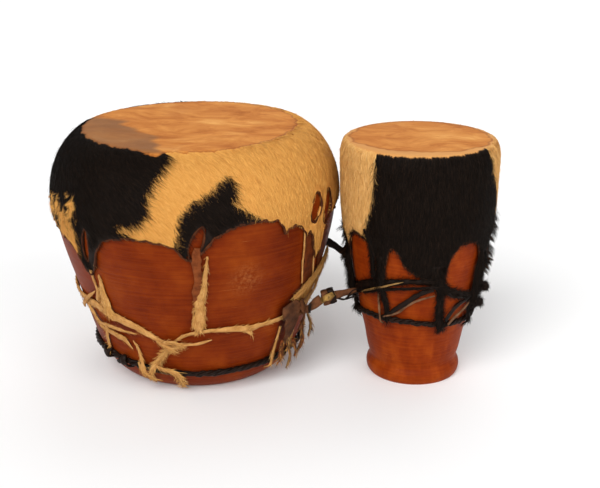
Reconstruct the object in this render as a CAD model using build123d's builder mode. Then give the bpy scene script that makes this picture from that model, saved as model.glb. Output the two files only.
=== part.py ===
from build123d import *
from math import cos, radians, sin
import os

# A pair of clay bongo drums with laced, hair-on cowhide heads, tied side by side.
# Millimetres and degrees. +X runs from the big drum to the small one, +Z is up, and the drums are struck from -Y.
# The origin is on the floor, under the middle of the whole model's box.
# Azimuths on a drum are measured about its own axis: 0 faces -Y, and 90 faces +X.

os.makedirs("parts", exist_ok=True)

# Driving dimensions
axis_spacing = 201.5  # between the two drums' axes
clay_gap = 0.3  # clearance between the clay and whatever lies on it
hide_thick = 2.2
lace_outer = 3.2  # outer face of the laces, above the clay
thong_outer = 3.9
overlay_inner = 4.2  # pieces that lie over the laces start here
part_gap = 0.5  # clearance between the ends of neighbouring laces

# Outside of each clay shell, as radius and height, from the foot to the top of the rim
big_outline = [
    (71.5, 0),
    (83.5, 9.5),
    (91.5, 23),
    (105, 65),
    (118.2, 110),
    (126.2, 148),
    (125.6, 180),
    (115, 205.5),
    (97, 221.5),
]
small_outline = [
    (40.6, 0),
    (42.6, 5.5),
    (41.9, 10.5),
    (39.8, 14.5),
    (40.7, 20),
    (44.4, 38),
    (48.5, 56),
    (56.4, 91),
    (62.4, 130),
    (66.2, 168),
    (66.6, 192),
    (66.4, 209.2),
    (63.6, 217.5),
]
big_wall = 8.0
small_wall = 6.5

# Tongues of the hides: first azimuth, the height of each tip, and the top of the arch after each tongue
big_tongue_start = -92.4
big_tongue_tips = [122, 115, 140, 128, 122, 128, 120]
big_arch_tops = [158, 158, 168, 160, 163, 157, 162]
small_tongue_start = -69.5
small_tongue_tips = [112, 114, 112, 110, 114, 110, 113, 111]
small_arch_tops = [141, 139, 139, 142, 138, 141, 139, 140]
big_slit = (8.5, 34)
small_slit = (5, 22)

# Laces, as azimuth and height of the points they pass
big_lace_route = [
    (-92, 84),
    (-39.5, 95),
    (-27.5, 78),
    (-1.5, 57),
    (14.5, 67),
    (49.5, 69),
    (64.5, 72),
    (113, 74),
    (165, 66),
    (216, 78),
    (268, 84),
]
small_lace_route = [
    (-69.5, 84),
    (-24.5, 102),
    (20.5, 104),
    (65.5, 84),
    (110.5, 96),
    (155.5, 88),
    (200.5, 98),
    (245.5, 86),
    (290.5, 84),
]
big_lace_width = 5.5
small_lace_width = 5.0
big_hoop_height = 26
big_hoop_radius = 2.6
small_hoop_height = 64
small_hoop_radius = 2.4

# The tie between the drums, as points from the big drum's axis
tie_start = (103.5, -45.9, 68.5)
knot_centre = (126.6, -35.8, 79.3)
knot_size = (13.5, 12, 15)
tie_end = (147.6, -28.0, 83.5)
rear_tie_start = (115.5, 36.5, 107)
rear_tie_end = (148.8, 34.5, 86)
tie_width = 8.5
tie_thick = 3.0


def place_of(curve, height):
    """The parameter at which the curve reaches a height."""
    low, high = 0.0, 1.0
    for _ in range(40):
        middle = (low + high) / 2
        if (curve @ middle).Y < height:
            low = middle
        else:
            high = middle
    return (low + high) / 2


def radius_of(curve, height):
    """The outside radius of the clay at a height."""
    return (curve @ place_of(curve, height)).X


def widest(curve, steps=400):
    """The largest outside radius of the clay."""
    return max((curve @ (step / steps)).X for step in range(steps + 1))


def layer(curve, gap, low, high, steps=10):
    """Points that stand gap outside the clay, between two heights."""
    first = place_of(curve, low)
    last = place_of(curve, high)
    points = []
    for step in range(steps + 1):
        place = first + (last - first) * step / steps
        along = curve % place
        points.append(curve @ place + Vector(along.Y, -along.X) * gap)
    return points


def upright(x):
    """A vertical plane through a drum's axis, for sections in radius and height."""
    return Plane(origin=(x, 0, 0), x_dir=(1, 0, 0), z_dir=(0, -1, 0))


def facing(x, azimuth):
    """A vertical plane through a drum's axis that faces outward at an azimuth."""
    a = radians(azimuth)
    return Plane(origin=(x, 0, 0), x_dir=(cos(a), sin(a), 0), z_dir=(sin(a), -cos(a), 0))


def drum_axis(x):
    return Axis((x, 0, 0), (0, 0, 1))


def around(x, curve, azimuth, height, gap):
    """The point that stands gap outside a drum's clay at an azimuth and a height."""
    a = radians(azimuth)
    r = radius_of(curve, height) + gap
    return Vector(x + r * sin(a), -r * cos(a), height)


def shell_section(x, curve, wall, foot_inner, wall_low, wall_high, rim_width):
    """Section of a clay shell with an open foot."""
    top = curve @ 1
    with BuildSketch(upright(x)) as section:
        with BuildLine():
            add(curve)
            inner = Spline(*layer(curve, -wall, wall_low, wall_high))
            Polyline(inner @ 0, (foot_inner, 0), curve @ 0)
            Polyline(inner @ 1, (top.X - rim_width, top.Y - rim_width / 3), top)
        make_face()
    return section.sketch


def band_section(x, curve, low, high, inner_gap, outer_gap):
    """Section of a layer that hugs the clay between two heights."""
    inside = layer(curve, inner_gap, low, high)
    outside = layer(curve, outer_gap, low, high)
    with BuildSketch(upright(x)) as section:
        with BuildLine():
            Spline(*inside)
            Spline(*outside)
            Line(inside[0], outside[0])
            Line(inside[-1], outside[-1])
        make_face()
    return section.sketch


def hide_section(x, curve, hem):
    """Section of a hide: up from its hem, over the rim and across the head."""
    inside = layer(curve, clay_gap, hem, (curve @ 1).Y, steps=16)
    outside = layer(curve, clay_gap + hide_thick, hem, (curve @ 1).Y, steps=16)
    with BuildSketch(upright(x)) as section:
        with BuildLine():
            Spline(*inside)
            Spline(*outside)
            Line(inside[0], outside[0])
            Polyline(inside[-1], (0, inside[-1].Y), (0, outside[-1].Y), outside[-1])
        make_face()
    return section.sketch


def arch_face(x, curve, azimuth, half_sector, left_tip, right_tip, top, tongue_half, hem):
    """The opening under one arch of a hide's lower edge, between two tongues."""
    left_middle = radius_of(curve, left_tip) * sin(radians(half_sector))
    right_middle = radius_of(curve, right_tip) * sin(radians(half_sector))
    left = tongue_half - left_middle
    right = right_middle - tongue_half
    floor = hem - 10
    with BuildSketch(facing(x, azimuth)) as face:
        with BuildLine():
            Spline(
                (left, left_tip),
                (left * 0.86, left_tip + (top - left_tip) * 0.62),
                (left * 0.5, left_tip + (top - left_tip) * 0.93),
                (0, top),
                (right * 0.5, right_tip + (top - right_tip) * 0.93),
                (right * 0.86, right_tip + (top - right_tip) * 0.62),
                (right, right_tip),
            )
            Polyline(
                (right, right_tip),
                (right_middle + 1, right_tip),
                (right_middle + 1, floor),
                (-left_middle - 1, floor),
                (-left_middle - 1, left_tip),
                (left, left_tip),
            )
        make_face()
    return face.sketch


def outline_face(x, azimuth, *points):
    """A face with straight sides, as distance to the side and height."""
    with BuildSketch(facing(x, azimuth)) as face:
        with BuildLine():
            Polyline(*points, close=True)
        make_face()
    return face.sketch


def lace_face(x, curve, start, end, width):
    """One straight stretch of a lace, between two points given as azimuth and height."""
    middle = (start[0] + end[0]) / 2
    half = radians(end[0] - start[0]) / 2
    left = -(radius_of(curve, start[1]) + thong_outer) * sin(half)
    right = (radius_of(curve, end[1]) + thong_outer) * sin(half)
    rise = width / 2
    return outline_face(
        x,
        middle,
        (left, start[1] - rise),
        (right, end[1] - rise),
        (right, end[1] + rise),
        (left, start[1] + rise),
    )


def lace_height(route, azimuth):
    """Height of a lace's middle line at an azimuth."""
    for start, end in zip(route, route[1:]):
        if start[0] <= azimuth <= end[0]:
            share = (azimuth - start[0]) / (end[0] - start[0])
            return start[1] + (end[1] - start[1]) * share
    return route[-1][1]


def save(piece, name):
    piece.part.label = name
    export_step(piece.part, f"parts/{name}.step")


def make_hide(name, x, curve, first, tips, tops, tongue_half, slit):
    """A hide with an arched lower edge and a slit in each tongue."""
    sector = 360 / len(tips)
    hem = min(tips)
    reach = radius_of(curve, max(tops)) + 20
    with BuildPart() as piece:
        revolve(hide_section(x, curve, hem), axis=drum_axis(x))
        for i, tip in enumerate(tips):
            next_tip = tips[(i + 1) % len(tips)]
            azimuth = first + sector * (i + 0.5)
            arch = arch_face(x, curve, azimuth, sector / 2, tip, next_tip, tops[i], tongue_half, hem)
            extrude(arch, amount=reach, mode=Mode.SUBTRACT)
            with BuildSketch(facing(x, first + sector * i)) as slot:
                with Locations((0, tip + slit[1] / 2 + 8)):
                    SlotOverall(slit[1], slit[0], rotation=90)
            extrude(slot.sketch, amount=reach, mode=Mode.SUBTRACT)
    save(piece, name)


def make_thong(name, x, curve, azimuth, top, bottom, width):
    """A thong that carries a tongue on, down to the lace."""
    half = width / 2
    with BuildPart() as piece:
        face = outline_face(x, azimuth, (-half, bottom), (half, bottom), (half * 0.8, top), (-half * 0.8, top))
        extrude(face, amount=radius_of(curve, top) + 20)
        section = band_section(x, curve, bottom - 2, top + 2, clay_gap, thong_outer)
        revolve(section, axis=drum_axis(x), mode=Mode.INTERSECT)
    save(piece, name)


def make_lace(name, x, curve, route, width):
    """A lace that runs right round a drum."""
    heights = [point[1] for point in route]
    with BuildPart() as piece:
        for start, end in zip(route, route[1:]):
            extrude(lace_face(x, curve, start, end, width), amount=radius_of(curve, max(heights)) + 20)
        section = band_section(x, curve, min(heights) - width, max(heights) + width, clay_gap, lace_outer)
        revolve(section, axis=drum_axis(x), mode=Mode.INTERSECT)
    save(piece, name)


def make_hoop(name, x, curve, height, radius):
    """A hoop of twisted hide drawn tight round a shell."""
    with BuildPart() as piece:
        with BuildSketch(upright(x)):
            with Locations((radius_of(curve, height) + radius + clay_gap + 0.3, height)):
                Circle(radius)
        revolve(axis=drum_axis(x))
    save(piece, name)


def make_overlay(name, x, curve, faces, low, high, inner, outer):
    """Pieces cut to faces that lie on one layer over the clay."""
    with BuildPart() as piece:
        for face in faces:
            extrude(face, amount=radius_of(curve, high) + 30)
        revolve(band_section(x, curve, low, high, inner, outer), axis=drum_axis(x), mode=Mode.INTERSECT)
    save(piece, name)


def strap(start, end, width, thick):
    """A flat strap between two points, on edge."""
    run = Vector(*end) - Vector(*start)
    across = run.cross(Vector(0, 0, 1)).normalized()
    with BuildSketch(Plane(origin=start, x_dir=across, z_dir=run)) as section:
        RectangleRounded(thick, width, thick * 0.45)
    extrude(section.sketch, amount=run.length)


big_curve = Spline(*big_outline)
small_curve = Spline(*small_outline)

# The model's box runs from one hide's widest point to the other's, so the axes stand this far from its middle
big_reach = widest(big_curve) + clay_gap + hide_thick
small_reach = widest(small_curve) + clay_gap + hide_thick
box_length = big_reach + axis_spacing + small_reach
big_x = big_reach - box_length / 2
small_x = big_x + axis_spacing

# Clay shells
with BuildPart() as big_shell:
    revolve(shell_section(big_x, big_curve, big_wall, 64, 6, 212, 6), axis=drum_axis(big_x))
save(big_shell, "big_shell")

with BuildPart() as small_shell:
    revolve(shell_section(small_x, small_curve, small_wall, 34, 6, 209, 5), axis=drum_axis(small_x))
save(small_shell, "small_shell")

# Hides
make_hide(
    "big_hide", big_x, big_curve, big_tongue_start, big_tongue_tips, big_arch_tops, tongue_half=8, slit=big_slit
)
make_hide(
    "small_hide",
    small_x,
    small_curve,
    small_tongue_start,
    small_tongue_tips,
    small_arch_tops,
    tongue_half=5.5,
    slit=small_slit,
)

# Thongs, one below each tongue
for i, tip in enumerate(big_tongue_tips):
    azimuth = big_tongue_start + i * 360 / len(big_tongue_tips)
    low = lace_height(big_lace_route, azimuth) + big_lace_width / 2 + 1.5
    make_thong(f"big_thong_{i + 1}", big_x, big_curve, azimuth, tip - part_gap, low, width=8)

small_hoop_top = small_hoop_height + small_hoop_radius + part_gap
for i, tip in enumerate(small_tongue_tips):
    azimuth = small_tongue_start + i * 360 / len(small_tongue_tips)
    low = lace_height(small_lace_route, azimuth) + small_lace_width / 2 + 1.8
    make_thong(f"small_thong_{i + 1}", small_x, small_curve, azimuth, tip - part_gap, low, width=6)

# Laces and hoops
make_lace("big_waist_lace", big_x, big_curve, big_lace_route, big_lace_width)
make_lace("small_waist_lace", small_x, small_curve, small_lace_route, small_lace_width)
make_hoop("big_hoop", big_x, big_curve, big_hoop_height, big_hoop_radius)
make_hoop("small_hoop", small_x, small_curve, small_hoop_height, small_hoop_radius)

# Ties from each lace down to its hoop: a pair at every tongue that spreads downward
big_hoop_top = big_hoop_height + big_hoop_radius + part_gap
big_ties = []
for i in range(len(big_tongue_tips)):
    azimuth = big_tongue_start + i * 360 / len(big_tongue_tips)
    high = lace_height(big_lace_route, azimuth) - big_lace_width / 2 - 4
    for side in (-1, 1):
        big_ties.append(
            outline_face(
                big_x,
                azimuth,
                (side * 14, big_hoop_top),
                (side * 18, big_hoop_top),
                (side * 6, high),
                (side * 2, high),
            )
        )
make_overlay("big_down_ties", big_x, big_curve, big_ties, big_hoop_top, 100, clay_gap, lace_outer)

small_ties = []
for i in range(len(small_tongue_tips)):
    azimuth = small_tongue_start + i * 360 / len(small_tongue_tips)
    high = lace_height(small_lace_route, azimuth) - small_lace_width / 2 - 2.5
    small_ties.append(
        outline_face(small_x, azimuth, (-2.5, small_hoop_top), (2.5, small_hoop_top), (2, high), (-2, high))
    )
make_overlay("small_down_ties", small_x, small_curve, small_ties, small_hoop_top, 104, clay_gap, lace_outer)

# Small drum: laces that climb from the hoop at one tongue to the lace at the next, over the ties
small_sector = 360 / len(small_tongue_tips)
small_climbs = []
for i in range(len(small_tongue_tips)):
    azimuth = small_tongue_start + i * small_sector
    low_point = (azimuth + 2, 71.5)
    high_point = (azimuth + small_sector - 6, lace_height(small_lace_route, azimuth + small_sector - 6) - 6)
    small_climbs.append(lace_face(small_x, small_curve, low_point, high_point, 3.5))
make_overlay("small_climbing_laces", small_x, small_curve, small_climbs, 68, 104, 3.6, 6.0)

# Big drum: the knot in front of the lace, with two tails that hang over the hoop
with BuildPart() as big_front_knot:
    for face in (
        outline_face(big_x, 0, (-13, 46), (-5, 41), (6, 44), (14, 52), (11, 61), (0, 66), (-11, 61)),
        outline_face(big_x, 0, (-6, 44), (-1, 43), (-12, 14), (-17, 16)),
        outline_face(big_x, 0, (0, 43), (6, 45), (20, 8), (16, 7)),
    ):
        extrude(face, amount=150)
    knot_band = band_section(big_x, big_curve, 6, 68, 6.4, 9.4)
    revolve(knot_band, axis=drum_axis(big_x), mode=Mode.INTERSECT)
save(big_front_knot, "big_front_knot")

# Big drum: the folded flap of leather that holds the tie strap, and its ragged tails
make_overlay(
    "big_strap_flap",
    big_x,
    big_curve,
    [outline_face(big_x, 55, (-13, 78), (-4, 48), (2, 47), (12, 76))],
    44,
    82,
    overlay_inner,
    overlay_inner + 4.5,
)
with BuildPart() as big_flap_tails:
    for azimuth, top, bottom, stand in ((52, 46.4, 22, 2.5), (55.5, 46.4, 12, 4), (59, 50, 20, 4.5)):
        root = around(big_x, big_curve, azimuth, top, stand + 3)
        with BuildSketch(Plane(origin=(root.X, root.Y, bottom), z_dir=(0, 0, 1))) as tail:
            Rectangle(3, 3, rotation=azimuth)
        extrude(tail.sketch, amount=top - bottom)
save(big_flap_tails, "big_flap_tails")

# Small drum: two knots of lace on its outer side
with BuildPart() as small_side_knots:
    for azimuth, height, radius in ((76, 90.5, 4.0), (74, 76, 3.8)):
        spot = around(small_x, small_curve, azimuth, height, radius + 6.3)
        with Locations(spot):
            Sphere(radius)
save(small_side_knots, "small_side_knots")

# The tie: a strap and a square knot in front, and a plain strap behind
def from_big(point):
    return (point[0] + big_x, point[1], point[2])


knot_left = (knot_centre[0] - knot_size[0] / 2 - 2, knot_centre[1] - 2.6, knot_centre[2] - 2.7)
knot_right = (knot_centre[0] + knot_size[0] / 2 + 2, knot_centre[1] + 2.4, knot_centre[2] + 1.6)
with BuildPart() as tie_strap_front:
    strap(from_big(tie_start), from_big(knot_left), tie_width, tie_thick)
    strap(from_big(knot_right), from_big(tie_end), tie_width, tie_thick)
save(tie_strap_front, "tie_strap_front")

with BuildPart() as tie_knot_front:
    with Locations(from_big(knot_centre)):
        Box(*knot_size)
    fillet(tie_knot_front.edges(), 2)
save(tie_knot_front, "tie_knot_front")

with BuildPart() as tie_strap_rear:
    strap(from_big(rear_tie_start), from_big(rear_tie_end), tie_width, tie_thick)
save(tie_strap_rear, "tie_strap_rear")
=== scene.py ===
import math

import bpy
import numpy as np
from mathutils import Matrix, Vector
from mathutils.bvhtree import BVHTree


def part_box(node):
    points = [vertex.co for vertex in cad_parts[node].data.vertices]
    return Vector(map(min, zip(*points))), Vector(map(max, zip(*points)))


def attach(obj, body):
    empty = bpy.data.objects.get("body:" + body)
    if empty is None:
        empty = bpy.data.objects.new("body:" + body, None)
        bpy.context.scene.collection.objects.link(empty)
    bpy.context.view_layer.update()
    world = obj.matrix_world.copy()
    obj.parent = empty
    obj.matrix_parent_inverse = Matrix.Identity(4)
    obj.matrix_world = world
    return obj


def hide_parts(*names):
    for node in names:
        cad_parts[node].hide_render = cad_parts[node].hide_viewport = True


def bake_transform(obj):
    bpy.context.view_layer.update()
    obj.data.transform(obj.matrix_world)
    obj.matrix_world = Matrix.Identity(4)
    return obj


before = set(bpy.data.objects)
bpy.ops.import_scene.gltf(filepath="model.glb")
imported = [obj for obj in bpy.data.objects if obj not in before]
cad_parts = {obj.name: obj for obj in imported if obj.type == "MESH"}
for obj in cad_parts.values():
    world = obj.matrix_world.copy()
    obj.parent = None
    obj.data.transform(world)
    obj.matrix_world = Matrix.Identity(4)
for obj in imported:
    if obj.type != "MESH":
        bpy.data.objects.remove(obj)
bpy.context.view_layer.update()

# A pair of clay bongo drums with laced, hair-on cowhide heads.
# Metres. Azimuths are in degrees about a drum's own axis: 0 faces -Y and 90 faces +X.
# Heights in the routes and outlines below are in millimetres above the floor.

bpy.context.scene.view_settings.view_transform = "Standard"
MM = 0.001

# ---- camera

CAMERA_AZIMUTH = 8.34
CAMERA_ELEVATION = 19.33
CAMERA_DISTANCE = 1.009
CAMERA_TARGET = (0.025, 0.0, 0.1147)
CAMERA_LENS = 66.2
SENSOR_WIDTH = 36


def make_camera():
    a, e = math.radians(CAMERA_AZIMUTH), math.radians(CAMERA_ELEVATION)
    back = Vector((math.sin(a) * math.cos(e), -math.cos(a) * math.cos(e), math.sin(e)))
    data = bpy.data.cameras.new("camera")
    data.lens = CAMERA_LENS
    data.sensor_width = SENSOR_WIDTH
    camera = bpy.data.objects.new("camera", data)
    camera.location = Vector(CAMERA_TARGET) + back * CAMERA_DISTANCE
    camera.rotation_euler = back.to_track_quat("Z", "Y").to_euler()
    bpy.context.collection.objects.link(camera)
    bpy.context.scene.camera = camera


make_camera()

# ---- the drums' surfaces

SKIN_THICK = 0.0022
# Steps of the hide's line over the flat of the head
HEAD_STEPS = 40
LINE_STEP = 0.001


class Drum:
    """The outside of one drum, read from its CAD nodes, as a line that is turned about its axis."""

    def __init__(self, name):
        self.name = name
        self.body = name + "_drum"
        shell_low, shell_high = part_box(name + "_shell")
        self.x = (shell_low[0] + shell_high[0]) / 2
        self.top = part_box(name + "_hide")[1][2]
        tree = BVHTree.FromObject(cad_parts[name + "_shell"], bpy.context.evaluated_depsgraph_get())
        line = []
        for z in np.arange(0.0004, shell_high[2] - 0.0002, LINE_STEP):
            hit = tree.ray_cast(Vector((self.x - 0.5, 0.0, z)), Vector((1, 0, 0)))[0]
            if hit:
                line.append((self.x - hit.x, z))
        clay = np.array(line)
        for _ in range(4):
            clay[1:-1] = (clay[:-2] + 2 * clay[1:-1] + clay[2:]) / 4
        self.clay = clay
        self.clay_normal = self.normals(clay)
        # The hide's outside runs from the middle of the head, over the rim and down the wall
        hide = (clay + self.clay_normal * SKIN_THICK)[::-1]
        self.edge_radius = hide[0, 0]
        flat_radius = np.linspace(0, self.edge_radius - LINE_STEP, HEAD_STEPS)
        flat = np.stack([flat_radius, np.full(HEAD_STEPS, self.top)], -1)
        hide[:, 1] = np.minimum(hide[:, 1], self.top)
        self.hide = np.concatenate([flat, hide])
        for _ in range(3):
            line = self.hide[HEAD_STEPS - 3 :]
            line[1:-1] = (line[:-2] + 2 * line[1:-1] + line[2:]) / 4
        self.hide_normal = self.normals(self.hide[::-1])[::-1]
        self.along = np.concatenate([[0], np.cumsum(np.hypot(*np.diff(self.hide, axis=0).T))])
        self.along -= np.interp(self.edge_radius, self.hide[:HEAD_STEPS, 0], self.along[:HEAD_STEPS])

    @staticmethod
    def normals(line):
        """Unit normals on the right of a line of radius and height, which is outward on the way up."""
        step = np.gradient(line, axis=0)
        step /= np.maximum(np.hypot(step[:, 0], step[:, 1]), 1e-9)[:, None]
        return np.stack([step[:, 1], -step[:, 0]], -1)

    def turn(self, azimuth, radius, height):
        """Points at azimuths, radii and heights about the drum's axis."""
        a = np.radians(azimuth)
        return np.stack([self.x + radius * np.sin(a), -radius * np.cos(a), height + 0 * a], -1)

    def clay_at(self, height):
        """The clay's radius and its normal's outward and upward parts, at heights."""
        columns = (self.clay[:, 0], *self.clay_normal.T)
        return [np.interp(height, self.clay[:, 1], column) for column in columns]

    def wall(self, azimuth, height, gap=0.0):
        """Points that stand gap outside the clay, at azimuths and heights."""
        r, nr, nz = self.clay_at(height)
        return self.turn(azimuth, r + nr * gap, height + nz * gap)

    def wall_normal(self, azimuth, height):
        a = np.radians(azimuth)
        _, nr, nz = self.clay_at(height)
        return np.stack([nr * np.sin(a), -nr * np.cos(a), nz + 0 * a], -1)

    def coat(self, azimuth, down, gap=0.0):
        """Points over the hide, at a distance down from the head's edge, negative on the head."""
        columns = (*self.hide.T, *self.hide_normal.T)
        r, z, nr, nz = (np.interp(down, self.along, column) for column in columns)
        return self.turn(azimuth, r + nr * gap, z + nz * gap)

    def coat_radius(self, down):
        return np.interp(down, self.along, self.hide[:, 0])

    def down_to(self, height):
        """Distance down from the head's edge at which the hide reaches a height in millimetres."""
        return np.interp(-np.asarray(height) * MM, -self.hide[HEAD_STEPS:, 1], self.along[HEAD_STEPS:])

    def height_at(self, down):
        """Height in millimetres of the hide at a distance down from the head's edge."""
        return np.interp(down, self.along, self.hide[:, 1]) / MM


big = Drum("big")
small = Drum("small")

# ---- outlines of the hides

# Lower edge of each hide on the side that the player sees, as azimuth and height
BIG_FRONT_EDGE = [
    (-53, 144), (-44, 139), (-40, 130), (-37, 116), (-34, 114.5), (-31, 122), (-28, 139), (-24, 150),
    (-19, 154.5), (-12, 157), (-4, 156), (2, 154), (6, 150), (8.5, 143), (11, 139), (13, 141), (16, 149),
    (20, 159), (26, 166.5), (32, 169), (39, 169), (45, 166.5), (47, 161), (48.2, 154), (50, 158), (53, 159),
    (57, 155), (60, 146), (62, 149), (64, 143), (67, 128), (69.5, 118), (71.5, 126), (73, 142), (76, 152),
]
SMALL_FRONT_EDGE = [
    (-70, 125), (-68, 113), (-65, 113), (-62.5, 126), (-59, 138), (-52, 144), (-42, 142), (-36, 138),
    (-31, 129), (-27, 114), (-24, 110), (-21.5, 122), (-19, 134), (-15.5, 138), (-11, 133), (-6, 121),
    (2, 114), (9, 110.5), (16, 106), (22, 111), (27, 120), (30, 131), (36, 139.5), (44, 141.5), (53, 139),
    (58, 132), (62, 121), (66, 111), (70, 111), (73, 122),
]


def arch(left, right, left_tip, right_tip, top):
    """Points of one arch of a hide's edge between two tongues, leaving out the tongues' tips."""
    middle, half = (left + right) / 2, (right - left) / 2
    shape = ((-0.88, 0.04), (-0.78, 0.6), (-0.48, 0.92), (0, 1), (0.45, 0.94), (0.76, 0.62), (0.88, 0.05))
    points = []
    for place, rise in shape:
        tip = left_tip if place < 0 else right_tip
        points.append((middle + half * place, tip + (top - tip) * rise))
    return points


def closed_edge(front, tongues, tops):
    """The whole lower edge: the front as listed, and arches between the tongues behind it."""
    points = list(front)
    for i in range(len(tongues) - 1):
        left, left_tip = tongues[i]
        right, right_tip = tongues[i + 1]
        points += [(left + 0.5, left_tip)] if i else []
        points += arch(left, right, left_tip, right_tip, tops[i])
    last = points[-1][0]
    first = front[0][0] + 360
    points = [p for p in points if p[0] < first - 0.5] if last >= first else points
    table = np.array(sorted(points))
    azimuth = np.concatenate([table[:, 0], [first]])
    height = np.concatenate([table[:, 1], [front[0][1]]])
    return azimuth, height


BIG_TONGUES = [(69.5, 118), (113, 122), (165, 128), (216, 120), (268, 122), (325, 115)]
BIG_TOPS = [160, 163, 157, 162, 150]
SMALL_TONGUES = [(68, 110), (113, 114), (158, 110), (203, 113), (248, 111), (294, 112)]
SMALL_TOPS = [142, 138, 141, 139, 141]
big.edge = closed_edge(BIG_FRONT_EDGE, BIG_TONGUES, BIG_TOPS)
small.edge = closed_edge(SMALL_FRONT_EDGE, SMALL_TONGUES, SMALL_TOPS)


def noise_1d(x, seed, scale, octaves):
    """Smooth repeatable noise of one variable, about -1 to 1, that closes every 360 units."""
    generator = np.random.default_rng(seed)
    total = np.zeros_like(np.asarray(x, float))
    for octave in range(octaves):
        turns = max(1, round(scale * 2**octave))
        for _ in range(3):
            k = turns + generator.integers(0, turns + 1)
            total += np.sin(np.radians(x) * k + generator.uniform(0, 6.283)) * 0.45 / 1.6**octave
    return total


def edge_height(drum, azimuth):
    """Height of a hide's lower edge, in millimetres, with the small waver of a knife cut."""
    first = drum.edge[0][0]
    a = (np.asarray(azimuth, float) - first) % 360 + first
    return np.interp(a, *drum.edge) + 0.5 * noise_1d(a, 3, 40, 2)


# Slits in the tongues: azimuth and height of the lower and the upper end, and half the width
big.slits = [
    (-34.8, 128, -32.5, 155, 4.2), (11.2, 143, 15.5, 166, 5.6), (64.8, 159, 67.2, 175, 9.0),
    (74, 152, 77, 173, 9.0), (113, 132, 113, 158, 4.5), (165, 136, 166, 162, 5), (216, 130, 215, 156, 4.5),
    (268, 132, 267, 158, 4.5),
]
small.slits = [
    (113, 120, 113, 136, 2.6), (158, 118, 158, 134, 2.6), (203, 120, 203, 136, 2.6),
    (248, 119, 248, 135, 2.6),
]


def slit_share(drum, azimuth, height):
    """Distance from the nearest slit's middle line, as a share of its half width; under 1 is inside."""
    a = np.asarray(azimuth, float)
    nearest = np.full(np.broadcast(a, height).shape, 99.0)
    for low_a, low_z, high_a, high_z, half in drum.slits:
        radius = drum.clay_at((low_z + high_z) / 2 * MM)[0] / MM
        t = np.clip((height - low_z) / (high_z - low_z), 0, 1)
        turn = (a - (low_a + (high_a - low_a) * t) + 180) % 360 - 180
        sideways = np.radians(turn) * radius
        beyond = height - (low_z + (high_z - low_z) * t)
        width = half * (0.75 + 0.25 * np.sin(t * math.pi))
        nearest = np.minimum(nearest, np.hypot(sideways, beyond) / width)
    return nearest


# ---- patches of the coat

# Black patches of each coat, as polygons of azimuth and height
big.black = [
    [(-100, 228), (-72, 228), (-36, 224), (-12, 223), (-4, 223), (-2, 221), (-3, 218), (-6, 208), (-8, 200),
     (-9, 188), (-7, 181), (-11, 173), (-17, 168), (-19, 165), (-15, 163), (-12, 157), (-16, 150),
     (-30, 130), (-34, 108), (-40, 124), (-40.5, 142), (-42, 154), (-45, 162), (-48, 153), (-52, 162),
     (-56, 152), (-61, 158), (-66, 148), (-72, 146), (-78, 116), (-92, 113), (-104, 130), (-112, 165),
     (-108, 195)],
    [(6, 145), (5, 151), (3.5, 156), (4.5, 167), (4, 177), (6, 183), (9, 191), (15, 197), (19, 205),
     (22, 209), (25, 206), (25, 197), (24, 189), (28, 184), (31, 180), (36, 173), (37, 168), (28, 162),
     (20, 152), (16, 138), (10, 128)],
    [(98, 188), (112, 206), (128, 198), (136, 176), (128, 150), (116, 118), (108, 122), (102, 150),
     (94, 168)],
    [(196, 232), (232, 232), (236, 205), (226, 186), (230, 160), (220, 112), (208, 120), (196, 150),
     (186, 178), (192, 208)],
]
small.black = [
    [(-26, 232), (-28, 207), (-28, 199), (-30, 190), (-30, 181), (-33, 170), (-38, 155), (-39, 150),
     (-34, 138), (-30, 120), (-26, 100), (-10, 100), (30, 100), (66, 100), (82, 108), (84, 140), (80, 160),
     (78, 178), (72, 192), (66, 202), (62, 232)],
    [(-76, 146), (-66, 138), (-58, 128), (-60, 100), (-80, 100), (-84, 126)],
    [(128, 205), (150, 214), (176, 206), (182, 170), (170, 130), (150, 100), (140, 120), (130, 160)],
    [(222, 196), (244, 206), (258, 188), (262, 150), (250, 100), (240, 110), (232, 150), (220, 170)],
]
# How far the patches are turned at the top of the wall, in degrees
big.patch_turn = 3.0
small.patch_turn = -3.0
TURN_FROM, TURN_OVER = 140, 80


def inside(polygon, x, y):
    """Whether points are inside a polygon."""
    points = np.array(polygon, float)
    result = np.zeros(np.shape(x), bool)
    for (x0, y0), (x1, y1) in zip(points, np.roll(points, -1, axis=0)):
        crosses = (y0 > y) != (y1 > y)
        with np.errstate(divide="ignore", invalid="ignore"):
            at = (x1 - x0) * (y - y0) / (y1 - y0 if y1 != y0 else 1e-9) + x0
        result ^= crosses & (x < at)
    return result


def is_black(drum, azimuth, height):
    """Whether the coat is black at azimuths and heights in millimetres."""
    result = np.zeros(np.shape(azimuth), bool)
    azimuth = azimuth - drum.patch_turn * np.clip((height - TURN_FROM) / TURN_OVER, 0, 1)
    for polygon in drum.black:
        middle = (polygon[0][0] + polygon[len(polygon) // 2][0]) / 2
        turned = (azimuth - middle + 180) % 360 - 180 + middle
        result |= inside(polygon, turned, height)
    return result


# ---- mesh helpers

# Nothing reaches below this height over the floor
LOWEST = 0.0003


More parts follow.
